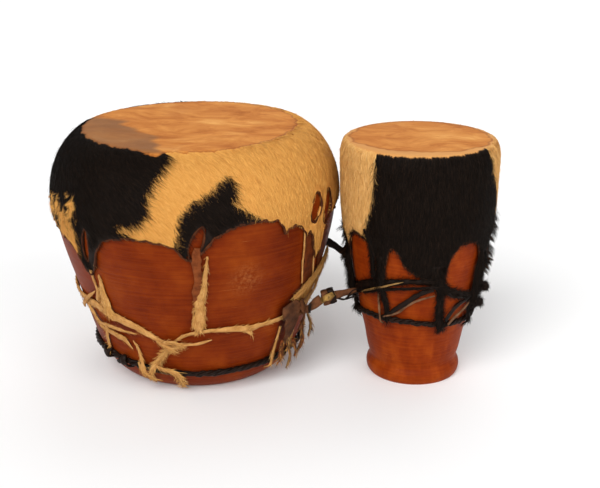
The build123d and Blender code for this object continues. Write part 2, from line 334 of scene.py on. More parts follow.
def mesh_object(name, vertices, faces, materials, indices=None, smooth=True):
    """A mesh object from arrays. faces is a list of arrays, each of shape (count, corners)."""
    mesh = bpy.data.meshes.new(name)
    vertices = np.array(vertices, np.float32).reshape(-1, 3)
    vertices[:, 2] = np.maximum(vertices[:, 2], LOWEST)
    mesh.vertices.add(len(vertices))
    mesh.vertices.foreach_set("co", vertices.ravel())
    corners = np.concatenate([np.asarray(f, np.int32).ravel() for f in faces])
    sizes = np.concatenate([np.full(len(f), np.shape(f)[1], np.int32) for f in faces])
    mesh.loops.add(len(corners))
    mesh.loops.foreach_set("vertex_index", corners)
    mesh.polygons.add(len(sizes))
    starts = np.concatenate([[0], np.cumsum(sizes)[:-1]]).astype(np.int32)
    mesh.polygons.foreach_set("loop_start", starts)
    mesh.polygons.foreach_set("use_smooth", np.full(len(sizes), smooth))
    for material in materials:
        mesh.materials.append(material)
    if indices is not None:
        mesh.polygons.foreach_set("material_index", np.asarray(indices, np.int32))
    mesh.update(calc_edges=True)
    mesh.validate()
    made = bpy.data.objects.new(name, mesh)
    bpy.context.collection.objects.link(made)
    return made


def unit(v):
    return v / np.maximum(np.linalg.norm(v, axis=-1, keepdims=True), 1e-12)


# ---- materials


class Nodes:
    """Short calls for building a node material."""

    def __init__(self, name):
        self.material = bpy.data.materials.new(name)
        self.material.use_nodes = True
        self.tree = self.material.node_tree
        self.shader = self.tree.nodes["Principled BSDF"]

    def add(self, kind, inputs=None, **settings):
        node = self.tree.nodes.new(kind)
        for key, value in settings.items():
            setattr(node, key, value)
        for key, value in (inputs or {}).items():
            self.feed(node.inputs[key], value)
        return node

    def feed(self, socket, value):
        """Link an output to a socket, or set the socket's own value; colours come without alpha."""
        if isinstance(value, bpy.types.NodeSocket):
            self.tree.links.new(value, socket)
        else:
            socket.default_value = (*value, 1) if socket.type == "RGBA" else value

    def surface(self, colour, roughness, specular, normal=None):
        """Feed the shader's main sockets and return the finished material."""
        self.feed(self.shader.inputs["Base Color"], colour)
        self.feed(self.shader.inputs["Roughness"], roughness)
        self.feed(self.shader.inputs["Specular IOR Level"], specular)
        if normal is not None:
            self.feed(self.shader.inputs["Normal"], normal)
        return self.material

    def math(self, operation, *values):
        return self.add("ShaderNodeMath", dict(enumerate(values)), operation=operation).outputs[0]

    def vector(self, operation, *values):
        return self.add("ShaderNodeVectorMath", dict(enumerate(values)), operation=operation).outputs

    def attribute(self, name, output="Fac"):
        return self.add("ShaderNodeAttribute", attribute_name=name).outputs[output]

    def noise(self, vector, scale, detail, roughness):
        inputs = {"Vector": vector, "Scale": scale, "Detail": detail, "Roughness": roughness}
        return self.add("ShaderNodeTexNoise", inputs).outputs["Fac"]

    def ramp(self, factor, *stops):
        node = self.add("ShaderNodeValToRGB", {"Fac": factor})
        elements = node.color_ramp.elements
        while len(elements) < len(stops):
            elements.new(0.5)
        for element, (place, colour) in zip(elements, stops):
            element.position = place
            element.color = (*colour, 1)
        return node.outputs["Color"]

    def mix(self, factor, a, b):
        return self.add("ShaderNodeMix", {"Factor": factor, 6: a, 7: b}, data_type="RGBA").outputs[2]

    def span(self, value, low, high, to_low=0.0, to_high=1.0):
        inputs = {"Value": value, "From Min": low, "From Max": high, "To Min": to_low, "To Max": to_high}
        return self.add("ShaderNodeMapRange", inputs).outputs["Result"]

    def bump(self, height, strength, distance, **normal):
        inputs = {"Height": height, "Strength": strength, "Distance": distance, **normal}
        return self.add("ShaderNodeBump", inputs).outputs["Normal"]

    def around(self, x, spread, rise):
        """Coordinates round a drum's axis: distance round at a radius of spread, and height times rise."""
        place = self.add("ShaderNodeTexCoord").outputs["Object"]
        split = self.add("ShaderNodeSeparateXYZ", {"Vector": place}).outputs
        toward = self.math("MULTIPLY", split["Y"], -1.0)
        turn = self.math("ARCTAN2", self.math("SUBTRACT", split["X"], x), toward)
        round_axis = self.math("MULTIPLY", turn, spread)
        inputs = {"X": round_axis, "Y": self.math("MULTIPLY", split["Z"], rise)}
        return self.add("ShaderNodeCombineXYZ", inputs).outputs["Vector"]


CLAY_COLOURS = ((0.120, 0.0115, 0.0011), (0.195, 0.0240, 0.0018), (0.290, 0.0490, 0.0040))
CLAY_SCRATCH = (0.50, 0.17, 0.045)
# Azimuth and height of a rubbed place on the big drum
WORN_SPOT = (33.0, 117.0)


def clay_material(drum, tone):
    """Terracotta under a thin red-brown varnish, with turning lines, wear and scratches."""
    n = Nodes(drum.name + "_clay")
    place = n.add("ShaderNodeTexCoord").outputs["Object"]
    broad = n.noise(n.around(drum.x, 0.3, 2.6), 9.0, 4.0, 0.55)
    streaks = n.noise(n.around(drum.x, 0.16, 46.0), 9.0, 5.0, 0.65)
    fine = n.noise(n.around(drum.x, 0.5, 150.0), 8.0, 3.0, 0.6)
    scratch = n.noise(n.around(drum.x, 0.16, 150.0), 8.0, 4.0, 0.7)
    wear = n.noise(place, 30.0, 7.0, 0.7)
    grit = n.noise(place, 420.0, 2.0, 0.5)
    deep, middle, light = (tuple(c * tone for c in colour) for colour in CLAY_COLOURS)
    colour = n.ramp(n.span(broad, 0.3, 0.7), (0.0, deep), (0.5, middle), (1.0, light))
    for value, start, end, most, over in (
        (streaks, 0.45, 0.75, 0.45, light),
        (streaks, 0.5, 0.25, 0.35, deep),
        (fine, 0.5, 0.8, 0.35, deep),
        (scratch, 0.68, 0.73, 0.6, CLAY_SCRATCH),
        (wear, 0.67, 0.75, 0.5, CLAY_SCRATCH),
    ):
        colour = n.mix(n.span(value, start, end, 0.0, most), colour, over)
    if drum is big:
        spot = big.wall(WORN_SPOT[0], WORN_SPOT[1] * MM)
        reach = n.vector("DISTANCE", place, tuple(spot))["Value"]
        patchy = n.noise(place, 330.0, 5.0, 0.75)
        rubbed = n.math("MULTIPLY", n.span(reach, 0.019, 0.001), n.span(patchy, 0.42, 0.72))
        colour = n.mix(n.math("MULTIPLY", rubbed, 0.55), colour, CLAY_SCRATCH)
    # Painted highlight: the clay is mixed towards its light colour over its lowest 12 mm, most at the floor,
    # for the highlights on the foot.
    above = n.add("ShaderNodeSeparateXYZ", {"Vector": place}).outputs["Z"]
    colour = n.mix(n.span(above, 0.012, 0.0, 0.0, 0.35), colour, light)
    roughness = n.span(n.math("ADD", broad, fine), 0.7, 1.3, 0.38, 0.55)
    height = n.math("ADD", n.math("MULTIPLY", fine, 0.6), n.math("MULTIPLY", grit, 0.25))
    normal = n.bump(streaks, 0.5, 0.0010, Normal=n.bump(height, 0.4, 0.0007))
    return n.surface(colour, roughness, 0.045, normal)


def hair_shades(name, roughness, specular, *colours):
    """Plain shades of hair that one coat mixes. A fourth value of a shade is its own roughness."""
    shades = []
    for i, (red, green, blue, *own) in enumerate(colours):
        rough = own[0] if own else roughness
        shades.append(Nodes(f"{name}_hair_{i}").surface((red, green, blue), rough, specular))
    return shades


CREAM_SHADES = hair_shades(
    "cream", 0.6, 0.08, (0.72, 0.355, 0.082), (0.68, 0.325, 0.071), (0.62, 0.285, 0.060), (0.76, 0.40, 0.105),
    (0.55, 0.24, 0.049)
)
PALE_SHADES = hair_shades(
    "pale", 0.6, 0.08, (0.60, 0.32, 0.090), (0.56, 0.28, 0.078), (0.50, 0.24, 0.062), (0.68, 0.40, 0.140),
    (0.42, 0.19, 0.048)
)
# The small drum's cream is paler and yellower than the big one's, and is also painted lighter to make up for
# the shade that the big drum casts on it.
SMALL_CREAM_SHADES = hair_shades(
    "small_cream", 0.6, 0.08, (0.76, 0.43, 0.14), (0.70, 0.38, 0.115), (0.63, 0.32, 0.09), (0.80, 0.50, 0.19)
)
BLACK_SHADES = hair_shades(
    "black", 0.55, 0.05, (0.006, 0.0035, 0.0022), (0.010, 0.006, 0.004), (0.004, 0.0025, 0.0018, 0.5),
    (0.018, 0.010, 0.006, 0.6)
)
BROWN_SHADES = hair_shades(
    "brown", 0.55, 0.12, (0.05, 0.020, 0.008), (0.11, 0.045, 0.016), (0.02, 0.010, 0.006)
)
MIXED_SHADES = [BROWN_SHADES[1], BROWN_SHADES[0], PALE_SHADES[4], CREAM_SHADES[4], BROWN_SHADES[2]]
WISP_SHADES = [BLACK_SHADES[0], BLACK_SHADES[1], BROWN_SHADES[0], BLACK_SHADES[2], BROWN_SHADES[1]]

HEAD_DARK = (0.32, 0.085, 0.012)
HEAD_MIDDLE = (0.51, 0.170, 0.028)
HEAD_LIGHT = (0.62, 0.240, 0.045)
HEAD_PALE = (0.76, 0.360, 0.090)
HEAD_BROWN = (0.40, 0.115, 0.018)
HEAD_GREY = (0.245, 0.102, 0.036)
HEAD_EDGE = (0.17, 0.045, 0.011)
HEAD_BAND = (0.66, 0.330, 0.105)


def skin_material(drum):
    """Shaved, sun-dried cowhide on the head, and the coat's own colour under the hair."""
    n = Nodes(drum.name + "_hide_skin")
    place = n.add("ShaderNodeTexCoord").outputs["Object"]
    shifted = n.vector("ADD", place, (-drum.x, 0, 0))[0]
    turned = {"Vector": shifted, "Rotation": (0, 0, 0.2), "Scale": (7.0, 15.0, 10.0)}
    stretched = n.add("ShaderNodeMapping", turned).outputs[0]
    cloudy = n.add("ShaderNodeMapping", {"Vector": shifted, "Scale": (11.0, 15.0, 10.0)}).outputs[0]
    bend = n.add("ShaderNodeTexNoise", {"Vector": shifted, "Scale": 14.0, "Detail": 2.0}).outputs["Color"]
    bent = n.add("ShaderNodeVectorMath", {0: bend, "Scale": 0.9}, operation="SCALE").outputs[0]
    streak = n.noise(n.vector("ADD", stretched, bent)[0], 2.6, 8.0, 0.66)
    cloud = n.noise(cloudy, 1.9, 6.0, 0.62)
    pore = n.noise(place, 900.0, 2.0, 0.5)
    stops = ((0.05, HEAD_DARK), (0.38, HEAD_MIDDLE), (0.62, HEAD_LIGHT), (0.9, HEAD_PALE))
    head = n.ramp(n.span(streak, 0.28, 0.75), *stops)
    head = n.mix(n.span(cloud, 0.5, 0.78, 0.0, 0.55), head, HEAD_BROWN)
    # Painted shade: the head is mixed towards a darker grey in a zone on the left of the big head.
    painted_shade = n.math("MULTIPLY", n.attribute("grey_zone"), n.span(cloud, 0.3, 0.6, 0.65, 0.95))
    head = n.mix(painted_shade, head, HEAD_GREY)
    head = n.mix(n.math("MULTIPLY", n.attribute("shaved_edge"), 0.6), head, HEAD_EDGE)
    head = n.mix(n.math("MULTIPLY", n.attribute("pale_band"), 0.7), head, HEAD_BAND)
    colour = n.mix(n.attribute("coat_share"), head, n.attribute("coat_colour", "Color"))
    height = n.math("ADD", n.math("MULTIPLY", streak, 0.8), n.math("MULTIPLY", pore, 0.2))
    return n.surface(colour, n.span(streak, 0.3, 0.7, 0.62, 0.48), 0.07, n.bump(height, 0.35, 0.0012))


def leather_material(name, dark, light, scale, roughness=(0.5, 0.7)):
    """Leather or rawhide with grain, blotches and paler rubbed places; in the leather for the knot's band the
    pale blotches are painted glints.
    """
    n = Nodes(name)
    place = n.add("ShaderNodeTexCoord").outputs["Object"]
    blotch = n.noise(place, 90.0 * scale, 5.0, 0.6)
    grain = n.add("ShaderNodeTexVoronoi", {"Vector": place, "Scale": 900.0 * scale}).outputs["Distance"]
    streak = n.noise(place, 320.0 * scale, 3.0, 0.6)
    colour = n.ramp(n.span(blotch, 0.3, 0.72), (0.0, dark), (1.0, light))
    colour = n.mix(n.span(streak, 0.55, 0.8, 0.0, 0.5), colour, light)
    height = n.math("ADD", n.math("MULTIPLY", grain, 0.4), n.math("MULTIPLY", streak, 0.8))
    return n.surface(colour, n.span(streak, 0.3, 0.7, *roughness), 0.1, n.bump(height, 0.5, 0.0006))


CUT_EDGE = leather_material("cut_edge", (0.022, 0.006, 0.002), (0.10, 0.026, 0.007), 2.0)
PALE_RAWHIDE = leather_material("pale_rawhide", (0.33, 0.14, 0.034), (0.60, 0.32, 0.105), 1.5)
BROWN_RAWHIDE = leather_material("brown_rawhide", (0.09, 0.018, 0.003), (0.24, 0.060, 0.014), 1.5)
BLACK_RAWHIDE = leather_material(
    "black_rawhide", (0.0035, 0.002, 0.0014), (0.017, 0.007, 0.004), 1.5, (0.32, 0.5)
)
BROWN_LEATHER = leather_material("brown_leather", (0.020, 0.0065, 0.0025), (0.145, 0.052, 0.019), 1.0)
DARK_LEATHER = leather_material(
    "dark_leather", (0.003, 0.0016, 0.001), (0.017, 0.007, 0.0035), 1.2, (0.35, 0.55)
)
DARK_RAWHIDE = leather_material("dark_rawhide", (0.040, 0.0065, 0.0011), (0.155, 0.032, 0.006), 1.5)
# Dark leather with bright yellow blotches in its colour: painted glints, for the highlights on the knot's
# middle band.
PAINTED_GLINT_LEATHER = leather_material(
    "glinting_leather", (0.010, 0.004, 0.0015), (0.48, 0.27, 0.07), 3.0, (0.3, 0.5)
)
# Paler rubbed leather for two of the flap's tails; the same material colours the painted highlight strand on
# the small drum's lace.
WORN_LEATHER_AND_HIGHLIGHT = leather_material(
    "worn_leather", (0.10, 0.045, 0.012), (0.42, 0.24, 0.08), 1.4, (0.3, 0.5)
)
# Dull pale rawhide colour for thin strips along the edges of dark laces: painted highlights on those edges.
EDGE_HIGHLIGHT_HIDE = leather_material("dull_rawhide", (0.05, 0.020, 0.009), (0.22, 0.105, 0.050), 1.5)

# ---- shells

# The clay of the big drum is darker than the small one's
for drum, tone in ((big, 0.84), (small, 1.08)):
    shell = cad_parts[drum.name + "_shell"]
    shell.data.materials.clear()
    shell.data.materials.append(clay_material(drum, tone))

# ---- hides

# How far the hair's edge wavers where the shaving stopped
big.ragged = 0.0009
small.ragged = 0.0005
# Where the shaved head ends, as azimuth and millimetres below the head's edge, negative on the head
big.shaved = [
    (-180, -3), (-110, -1), (-60, 0.5), (-14, 1), (-10, 5), (-3, 4.5), (0, 1), (25, 0), (45, -5), (75, -8),
    (120, -5), (180, -3),
]
small.shaved = [
    (-180, -2), (-70, -1), (-32, 0.5), (-24, 1.2), (0, 0.6), (25, 0.2), (50, -0.5), (60, -2.5), (75, -2),
    (180, -2),
]
# Colours under the hair
COAT_BASE = {"big": (0.65, 0.30, 0.07), "small": (0.66, 0.36, 0.12)}
BLACK_BASE = (0.012, 0.007, 0.005)
CENTRE_COLOUR = (0.5, 0.2, 0.05)
# The head's last rings are close together, for the marks beside its edge
FINE_BAND = 0.016
SWELL = 0.0004
# What the sheet's thickness modifier leaves to the hair's roots
SKIN_GAP = 0.0004


def hair_line(drum, azimuth):
    """How far below the head's edge the hair starts, in metres."""
    a = (np.asarray(azimuth) + 180) % 360 - 180
    level = np.interp(a, *zip(*drum.shaved)) * MM
    return level + drum.ragged * (0.9 * noise_1d(azimuth, 11, 26, 3) + 0.6 * noise_1d(azimuth, 12, 90, 2))


def make_skin(drum, columns, rows):
    """The hide as one sheet: the head, the shoulder and the arched rim with its slits."""
    azimuth = np.arange(columns) * 360 / columns + drum.edge[0][0]
    bottom = drum.down_to(edge_height(drum, azimuth))
    head = np.linspace(-0.96 * drum.edge_radius, -FINE_BAND, 24)
    head = np.append(head, np.linspace(-FINE_BAND, 0, 20)[1:])
    rings = [np.stack([azimuth, np.full(columns, down)], -1) for down in head]
    rings += [np.stack([azimuth, bottom * t], -1) for t in np.linspace(0, 1, rows + 1)[1:]]
    a, down = np.moveaxis(np.array(rings), -1, 0)
    swell = SWELL * noise_1d(a, 21, 5, 2) * np.clip(down / 0.03, 0, 1)
    points = drum.coat(a, down, swell)
    height = drum.height_at(down)
    count = len(rings)
    index = np.arange(count * columns).reshape(count, columns)
    right = np.roll(index, -1, axis=1)
    quads = np.stack([index[:-1], index[1:], right[1:], right[:-1]], -1)
    cut = slit_share(drum, a, height) < 1
    cut &= np.roll(cut, -1, 1)
    keep = ~(cut[:-1] & cut[1:])
    keep |= down[:-1] < 0.01
    quads = quads[keep]
    centre = drum.coat(np.array([0.0]), np.array([-drum.edge_radius]))
    vertices = np.concatenate([points.reshape(-1, 3), centre])
    cap = np.stack([index[0], right[0], np.full(columns, count * columns)], -1)
    skin = mesh_object(drum.name + "_hide_skin", vertices, [quads, cap], [skin_material(drum)])
    limit = hair_line(drum, a)
    furry = np.clip((down - limit) / 0.0012, 0, 1)
    colour = np.where(is_black(drum, a, height)[..., None], BLACK_BASE, COAT_BASE[drum.name])
    write_attribute(skin, "coat_share", np.append(furry.ravel(), 0))
    write_colour(skin, "coat_colour", np.concatenate([colour.reshape(-1, 3), [CENTRE_COLOUR]]))
    # Share of the painted shade on the left of the big head
    write_attribute(skin, "grey_zone", np.append(grey_zone(drum, points).ravel(), 0))
    ring = np.exp(-(((down - limit + 0.0008) / 0.0009) ** 2))
    band = np.zeros_like(down)
    if drum is small:
        # The head's worn oval, which stops well short of the front of the rim
        front = np.clip(np.cos(np.radians(a)), 0, 1)
        inner = -0.004 - 0.010 * front**2 + 0.0014 * noise_1d(a, 31, 7, 3)
        band = np.clip((down - inner) / 0.002, 0, 1)
        ring = 0.3 * ring + 0.8 * np.exp(-(((down - inner) / 0.0011) ** 2))
    write_attribute(skin, "shaved_edge", np.append(ring.ravel(), 0))
    write_attribute(skin, "pale_band", np.append(band.ravel(), 0))
    skin["flat_area"] = sum(face.area for face in skin.data.polygons)
    thicken = skin.modifiers.new("thickness", "SOLIDIFY")
    thicken.thickness = SKIN_THICK - SKIN_GAP
    thicken.offset = -1
    return skin


def grey_zone(drum, points):
    """Painted shade: a darker, greyer zone on the left of the big head."""
    if drum is small:
        return np.zeros(points.shape[:-1])
    x = (points[..., 0] - drum.x) / MM
    y = points[..., 1] / MM
    across = x * 0.83 + y * 0.56
    reach = -50 - across + 5 * np.sin(y * 0.09) + 3 * np.sin(y * 0.23 + 1)
    far_side = 6 - y - 0.35 * (x + 60)
    edge = np.clip(reach / 5, 0, 1) * np.clip(far_side / 10, 0, 1)
    on_head = np.clip((points[..., 2] / MM - (drum.top / MM - 2.5)) / 1.5, 0, 1)
    return edge * on_head


def write_attribute(made, name, values):
    attribute = made.data.attributes.new(name, "FLOAT", "POINT")
    attribute.data.foreach_set("value", np.asarray(values, np.float32))


def write_colour(made, name, values):
    attribute = made.data.attributes.new(name, "FLOAT_COLOR", "POINT")
    alpha = np.ones((len(values), 1))
    attribute.data.foreach_set("color", np.concatenate([values, alpha], -1).astype(np.float32).ravel())


big_skin = make_skin(big, 720, 84)
small_skin = make_skin(small, 540, 96)

# ---- hair

# Hairs in one piece at most
MOST_HAIRS = 60000
SHADE_WEIGHTS = np.array([0.36, 0.28, 0.18, 0.12, 0.06])
# Azimuths, and which way each coat lies there
big.lie = ([-180, -90, -40, 0, 20, 40, 62, 90, 180], [-10, 35, 55, 48, 36, 16, -8, -20, -10])
small.lie = ([-180, -60, -30, 0, 40, 80, 180], [0, 4, 10, -4, 6, 14, 0])
# Degrees by which neighbouring locks of hair lie apart
LOCKS = 7
# A hide's rim is fullest with hair where it reaches this far down
FULL_RIM = 0.105
# Lengths are cut back at the rim and at slits, but for these shares of the hairs
STRAY_TIPS, STRAY_HAIRS = 0.1, 0.04
COAT_WIDTH = (0.00022, 0.00040)
LACE_WIDTH = (0.00022, 0.00045)
TUFT_WIDTH = (0.00025, 0.00045)
# Half a hair's width at its middle, as a share of that at the root
TAPER = 0.8


def ribbons(name, root, mid, tip, side, width, shade, materials):
    """A tapered ribbon for each hair, through three points."""
    half = side * (width / 2)[:, None]
    count = len(root)
    middle = half * TAPER
    vertices = np.stack([root - half, root + half, mid + middle, mid - middle, tip], 1).reshape(-1, 3)
    base = (np.arange(count) * 5)[:, None]
    quads = base + np.array([0, 1, 2, 3])
    tips = base + np.array([3, 2, 4])
    return mesh_object(name, vertices, [quads, tips], materials, np.concatenate([shade, shade]), smooth=False)


def flow(drum, azimuth):
    """Which way the coat lies, in degrees from straight down, positive towards larger azimuths."""
    return np.interp((azimuth + 180) % 360 - 180, *drum.lie)


def grow_coat(drum, count, length, seed):
    """Short hair over the rim of a hide, split into the light and the black coat."""
    generator = np.random.default_rng(seed)
    azimuth = generator.uniform(0, 360, count) + drum.edge[0][0]
    bottom = drum.down_to(edge_height(drum, azimuth))
    start = hair_line(drum, azimuth)
    down = start + (bottom - 0.0010 - start) * generator.uniform(0, 1, count) ** 0.95
    height = drum.height_at(down)
    keep = slit_share(drum, azimuth, height) > 1.12
    # Fewer hairs where the arches leave a short rim, so that the coat is equally thick everywhere
    keep &= generator.uniform(0, 1, count) < np.clip((bottom - start) / FULL_RIM, 0, 1)
    azimuth, down, height, bottom = azimuth[keep], down[keep], height[keep], bottom[keep]
    black = is_black(drum, azimuth, height)
    border = np.zeros(len(azimuth), bool)
    for turn, rise in ((2.2, 0), (-2.2, 0), (0, 4.5), (0, -4.5)):
        border |= is_black(drum, azimuth + turn, height + rise) != black
    count = len(azimuth)
    clump = np.sin(azimuth * 0.9 + height * 0.31) * np.sin(azimuth * 0.43 - height * 0.21)
    angle = np.radians(flow(drum, azimuth) + LOCKS * clump + generator.normal(0, 7, count))
    long = length * generator.uniform(0.6, 1.2, count) * np.where(black, 1.2, 1.0)
    long = np.where(border & (generator.uniform(0, 1, count) < 0.5), long * 1.55, long)
    angle = angle + border * generator.normal(0, 0.22, count)
    room = np.maximum(bottom + 0.0012 - down, 0.0015) / np.maximum(np.cos(angle), 0.3)
    long = np.where(generator.uniform(0, 1, count) < 1 - STRAY_TIPS, np.minimum(long, room + 0.001), long)
    lift = generator.uniform(0.0003, 0.0010, count) * np.where(black, 1.5, 1.0)
    lift = np.where(generator.uniform(0, 1, count) < 0.015, lift * 2.5, lift)
    radius = drum.coat_radius(down)

    def spot(share):
        turned = azimuth + np.degrees(long * share * np.sin(angle) / radius)
        return turned, down + long * share * np.cos(angle)

    gaps = ((0, 0.0001), (0.5, lift * 0.8), (1.0, lift))
    root, mid, tip = (drum.coat(*spot(share), gap) for share, gap in gaps)
    stays = np.ones(count, bool)
    for share in (0.5, 1.0):
        turned, below = spot(share)
        reached = drum.height_at(below)
        stays &= slit_share(drum, turned, reached) > 1.0
        stays &= reached > edge_height(drum, turned) - 0.3
    stays |= generator.uniform(0, 1, count) < STRAY_HAIRS
    outward = unit(drum.coat(azimuth, down, 0.001) - drum.coat(azimuth, down, 0.0))
    side = unit(np.cross(tip - root, outward))
    roll = generator.normal(0, 0.35, count)[:, None]
    side = unit(side * np.cos(roll) + outward * np.sin(roll))
    width = generator.uniform(*COAT_WIDTH, count)
    return [part[stays] for part in (black, root, mid, tip, side, width)], generator


def coat_pieces(drum, count, length, seed, light_shades):
    (black, *hairs), generator = grow_coat(drum, count, length, seed)
    made = []
    for kind, chosen, shades in (("light", ~black, light_shades), ("black", black, BLACK_SHADES)):
        for part, rows in enumerate(np.array_split(np.flatnonzero(chosen), 1 + chosen.sum() // MOST_HAIRS)):
            shade = pick_shades(generator, len(rows), shades)
            name = f"{drum.name}_{kind}_coat_{part + 1}"
            made.append(ribbons(name, *(column[rows] for column in hairs), shade, shades))
    return made


def pick_shades(generator, count, shades):
    weights = SHADE_WEIGHTS[: len(shades)]
    return generator.choice(len(shades), count, p=weights / weights.sum())


big_coats = coat_pieces(big, 260000, 0.0085, 101, CREAM_SHADES)
small_coats = coat_pieces(small, 150000, 0.0085, 102, SMALL_CREAM_SHADES)

# ---- strips of hide

STRIP_STEP = 0.0016
# A strip's outline is a superellipse with this power, and its lumps are this many times its roughness
CORNER_POWER = 0.75
LUMPINESS = 3.2


def smooth_rows(rows, points, closed):
    """Rows on a smooth curve through the given rows, about one for each step between their points."""
    lengths = np.linalg.norm(np.diff(points, axis=0), axis=1)
    ends = np.concatenate([[2 * rows[0] - rows[1]], rows, [2 * rows[-1] - rows[-2]]])
    out = []
    for i, length in enumerate(lengths):
        a, b, c, d = ends[i : i + 4]
        t = np.linspace(0, 1, max(2, math.ceil(length / STRIP_STEP)), endpoint=False)[:, None]
        square, cube = 2 * a - 5 * b + 4 * c - d, 3 * b - a - 3 * c + d
        out.append((2 * b + (c - a) * t + square * t**2 + cube * t**3) / 2)
    return np.concatenate(out if closed else [*out, rows[-1:]])


class Strip:
    """A flattened strip of hide along a line, with a frame, a width and a thickness at each step."""

    corners = 12

    def __init__(self, centre, normal, width, thick, twist, seed, rough, closed=False):
        step = np.roll(centre, -1, 0) - np.roll(centre, 1, 0) if closed else np.gradient(centre, axis=0)
        self.along = unit(step)
        normal = unit(normal - self.along * (normal * self.along).sum(-1, keepdims=True))
        side = np.cross(self.along, normal)
        turn = np.radians(twist)[:, None]
        self.side = side * np.cos(turn) + normal * np.sin(turn)
        self.normal = normal * np.cos(turn) - side * np.sin(turn)
        self.width, self.thick, self.closed = width, thick, closed
        generator = np.random.default_rng(seed)
        noise = generator.normal(0, 1, (len(centre), self.corners))
        for _ in range(2):
            noise = (np.roll(noise, 1, 0) + 2 * noise + np.roll(noise, -1, 0)) / 4
            noise = (np.roll(noise, 1, 1) + 2 * noise + np.roll(noise, -1, 1)) / 4
        self.lumps = 1 + rough * noise * LUMPINESS
        self.centre = centre.copy()
        stand = thick * 0.5 + width * np.abs(np.sin(turn[:, 0])) * 0.5
        self.centre[:, 2] = np.maximum(centre[:, 2], stand + 2 * LOWEST)

    def ring(self, turn, step, grow=1.0):
        """Points on the strip's outside, at angles from its side, for chosen steps."""
        c, s = np.cos(turn), np.sin(turn)
        across = np.sign(c) * np.abs(c) ** CORNER_POWER * self.width[step] / 2 * grow
        rise = np.sign(s) * np.abs(s) ** CORNER_POWER * self.thick[step] / 2 * grow
        return self.centre[step] + self.side[step] * across[:, None] + self.normal[step] * rise[:, None]

    def mesh(self):
        count = len(self.centre)
        turns = np.arange(self.corners) * 2 * math.pi / self.corners
        rings = []
        for k, turn in enumerate(turns):
            ring = self.ring(np.full(count, turn), np.arange(count))
            rings.append(self.centre + (ring - self.centre) * self.lumps[:, k, None])
        points = np.stack(rings, 1).reshape(-1, 3)
        index = np.arange(count * self.corners).reshape(count, self.corners)
        ahead = np.roll(index, -1, 0) if self.closed else index[1:]
        here = index if self.closed else index[:-1]
        quads = np.stack([here, np.roll(here, -1, 1), np.roll(ahead, -1, 1), ahead], -1).reshape(-1, 4)
        if self.closed:
            return points, quads, np.zeros((0, 3), int)
        points = np.concatenate([points, self.centre[[0, -1]]])
        first, last = count * self.corners, count * self.corners + 1
        caps = [np.stack([np.roll(index[0], -1), index[0], np.full(self.corners, first)], -1)]
        caps.append(np.stack([index[-1], np.roll(index[-1], -1), np.full(self.corners, last)], -1))
        return points, quads, np.concatenate(caps)


def padded(rows, closing):
    """Rows as an array, with a twist of 0 where none is given and, where closing is given, a row more."""
    rows = np.array([(*row, 0) if len(row) == 5 else row for row in rows], float)
    return rows if closing is None else np.concatenate([rows, [rows[0] + closing]])


def on_wall(drum, rows, seed, rough, closed=False):
    """A strip over a drum's wall. Rows hold azimuth, height, gap below it, width, thickness and twist."""
    rows = padded(rows, [360, 0, 0, 0, 0, 0] if closed else None)
    fine = smooth_rows(rows, drum.wall(rows[:, 0], rows[:, 1] * MM), closed)
    azimuth, height, gap, width, thick, twist = fine.T
    turn = np.radians(twist)
    middle = gap + (np.abs(np.cos(turn)) * thick + np.abs(np.sin(turn)) * width) / 2
    centre = drum.wall(azimuth, height * MM, middle * MM)
    normal = drum.wall_normal(azimuth, height * MM)
    return Strip(centre, normal, width * MM, thick * MM, twist, seed, rough, closed)


def strips_on(drum, routes, seed, rough):
    return [on_wall(drum, route, seed + i, rough) for i, route in enumerate(routes)]


def in_air(rows, facing, seed, rough, closed=False):
    """A strip through the air. Rows hold X from the big drum's axis, Y, Z, width, thickness and twist."""
    rows = padded(rows, 0 if closed else None)
    rows[:, :5] *= MM
    rows[:, 0] += big.x
    fine = smooth_rows(rows, rows[:, :3], closed)
    normal = np.broadcast_to(np.array(facing, float), (len(fine), 3))
    return Strip(fine[:, :3], normal, fine[:, 3], fine[:, 4], fine[:, 5], seed, rough, closed)


def strip_object(name, strips, material):
    """One object from several strips, each with its own material where material is a list."""
    materials = material if isinstance(material, list) else [material]
    points, quads, caps, start = [], [], [], 0
    for strip in strips:
        p, q, c = strip.mesh()
        points.append(p)
        quads.append(q + start)
        caps.append(c + start)
        start += len(p)
    slots = [np.full(len(part), i % len(strips)) for i, part in enumerate(quads + caps)]
    slots = np.minimum(np.concatenate(slots), len(materials) - 1)
    faces = [np.concatenate(quads), np.concatenate(caps)]
    return mesh_object(name, np.concatenate(points), faces, materials, slots)


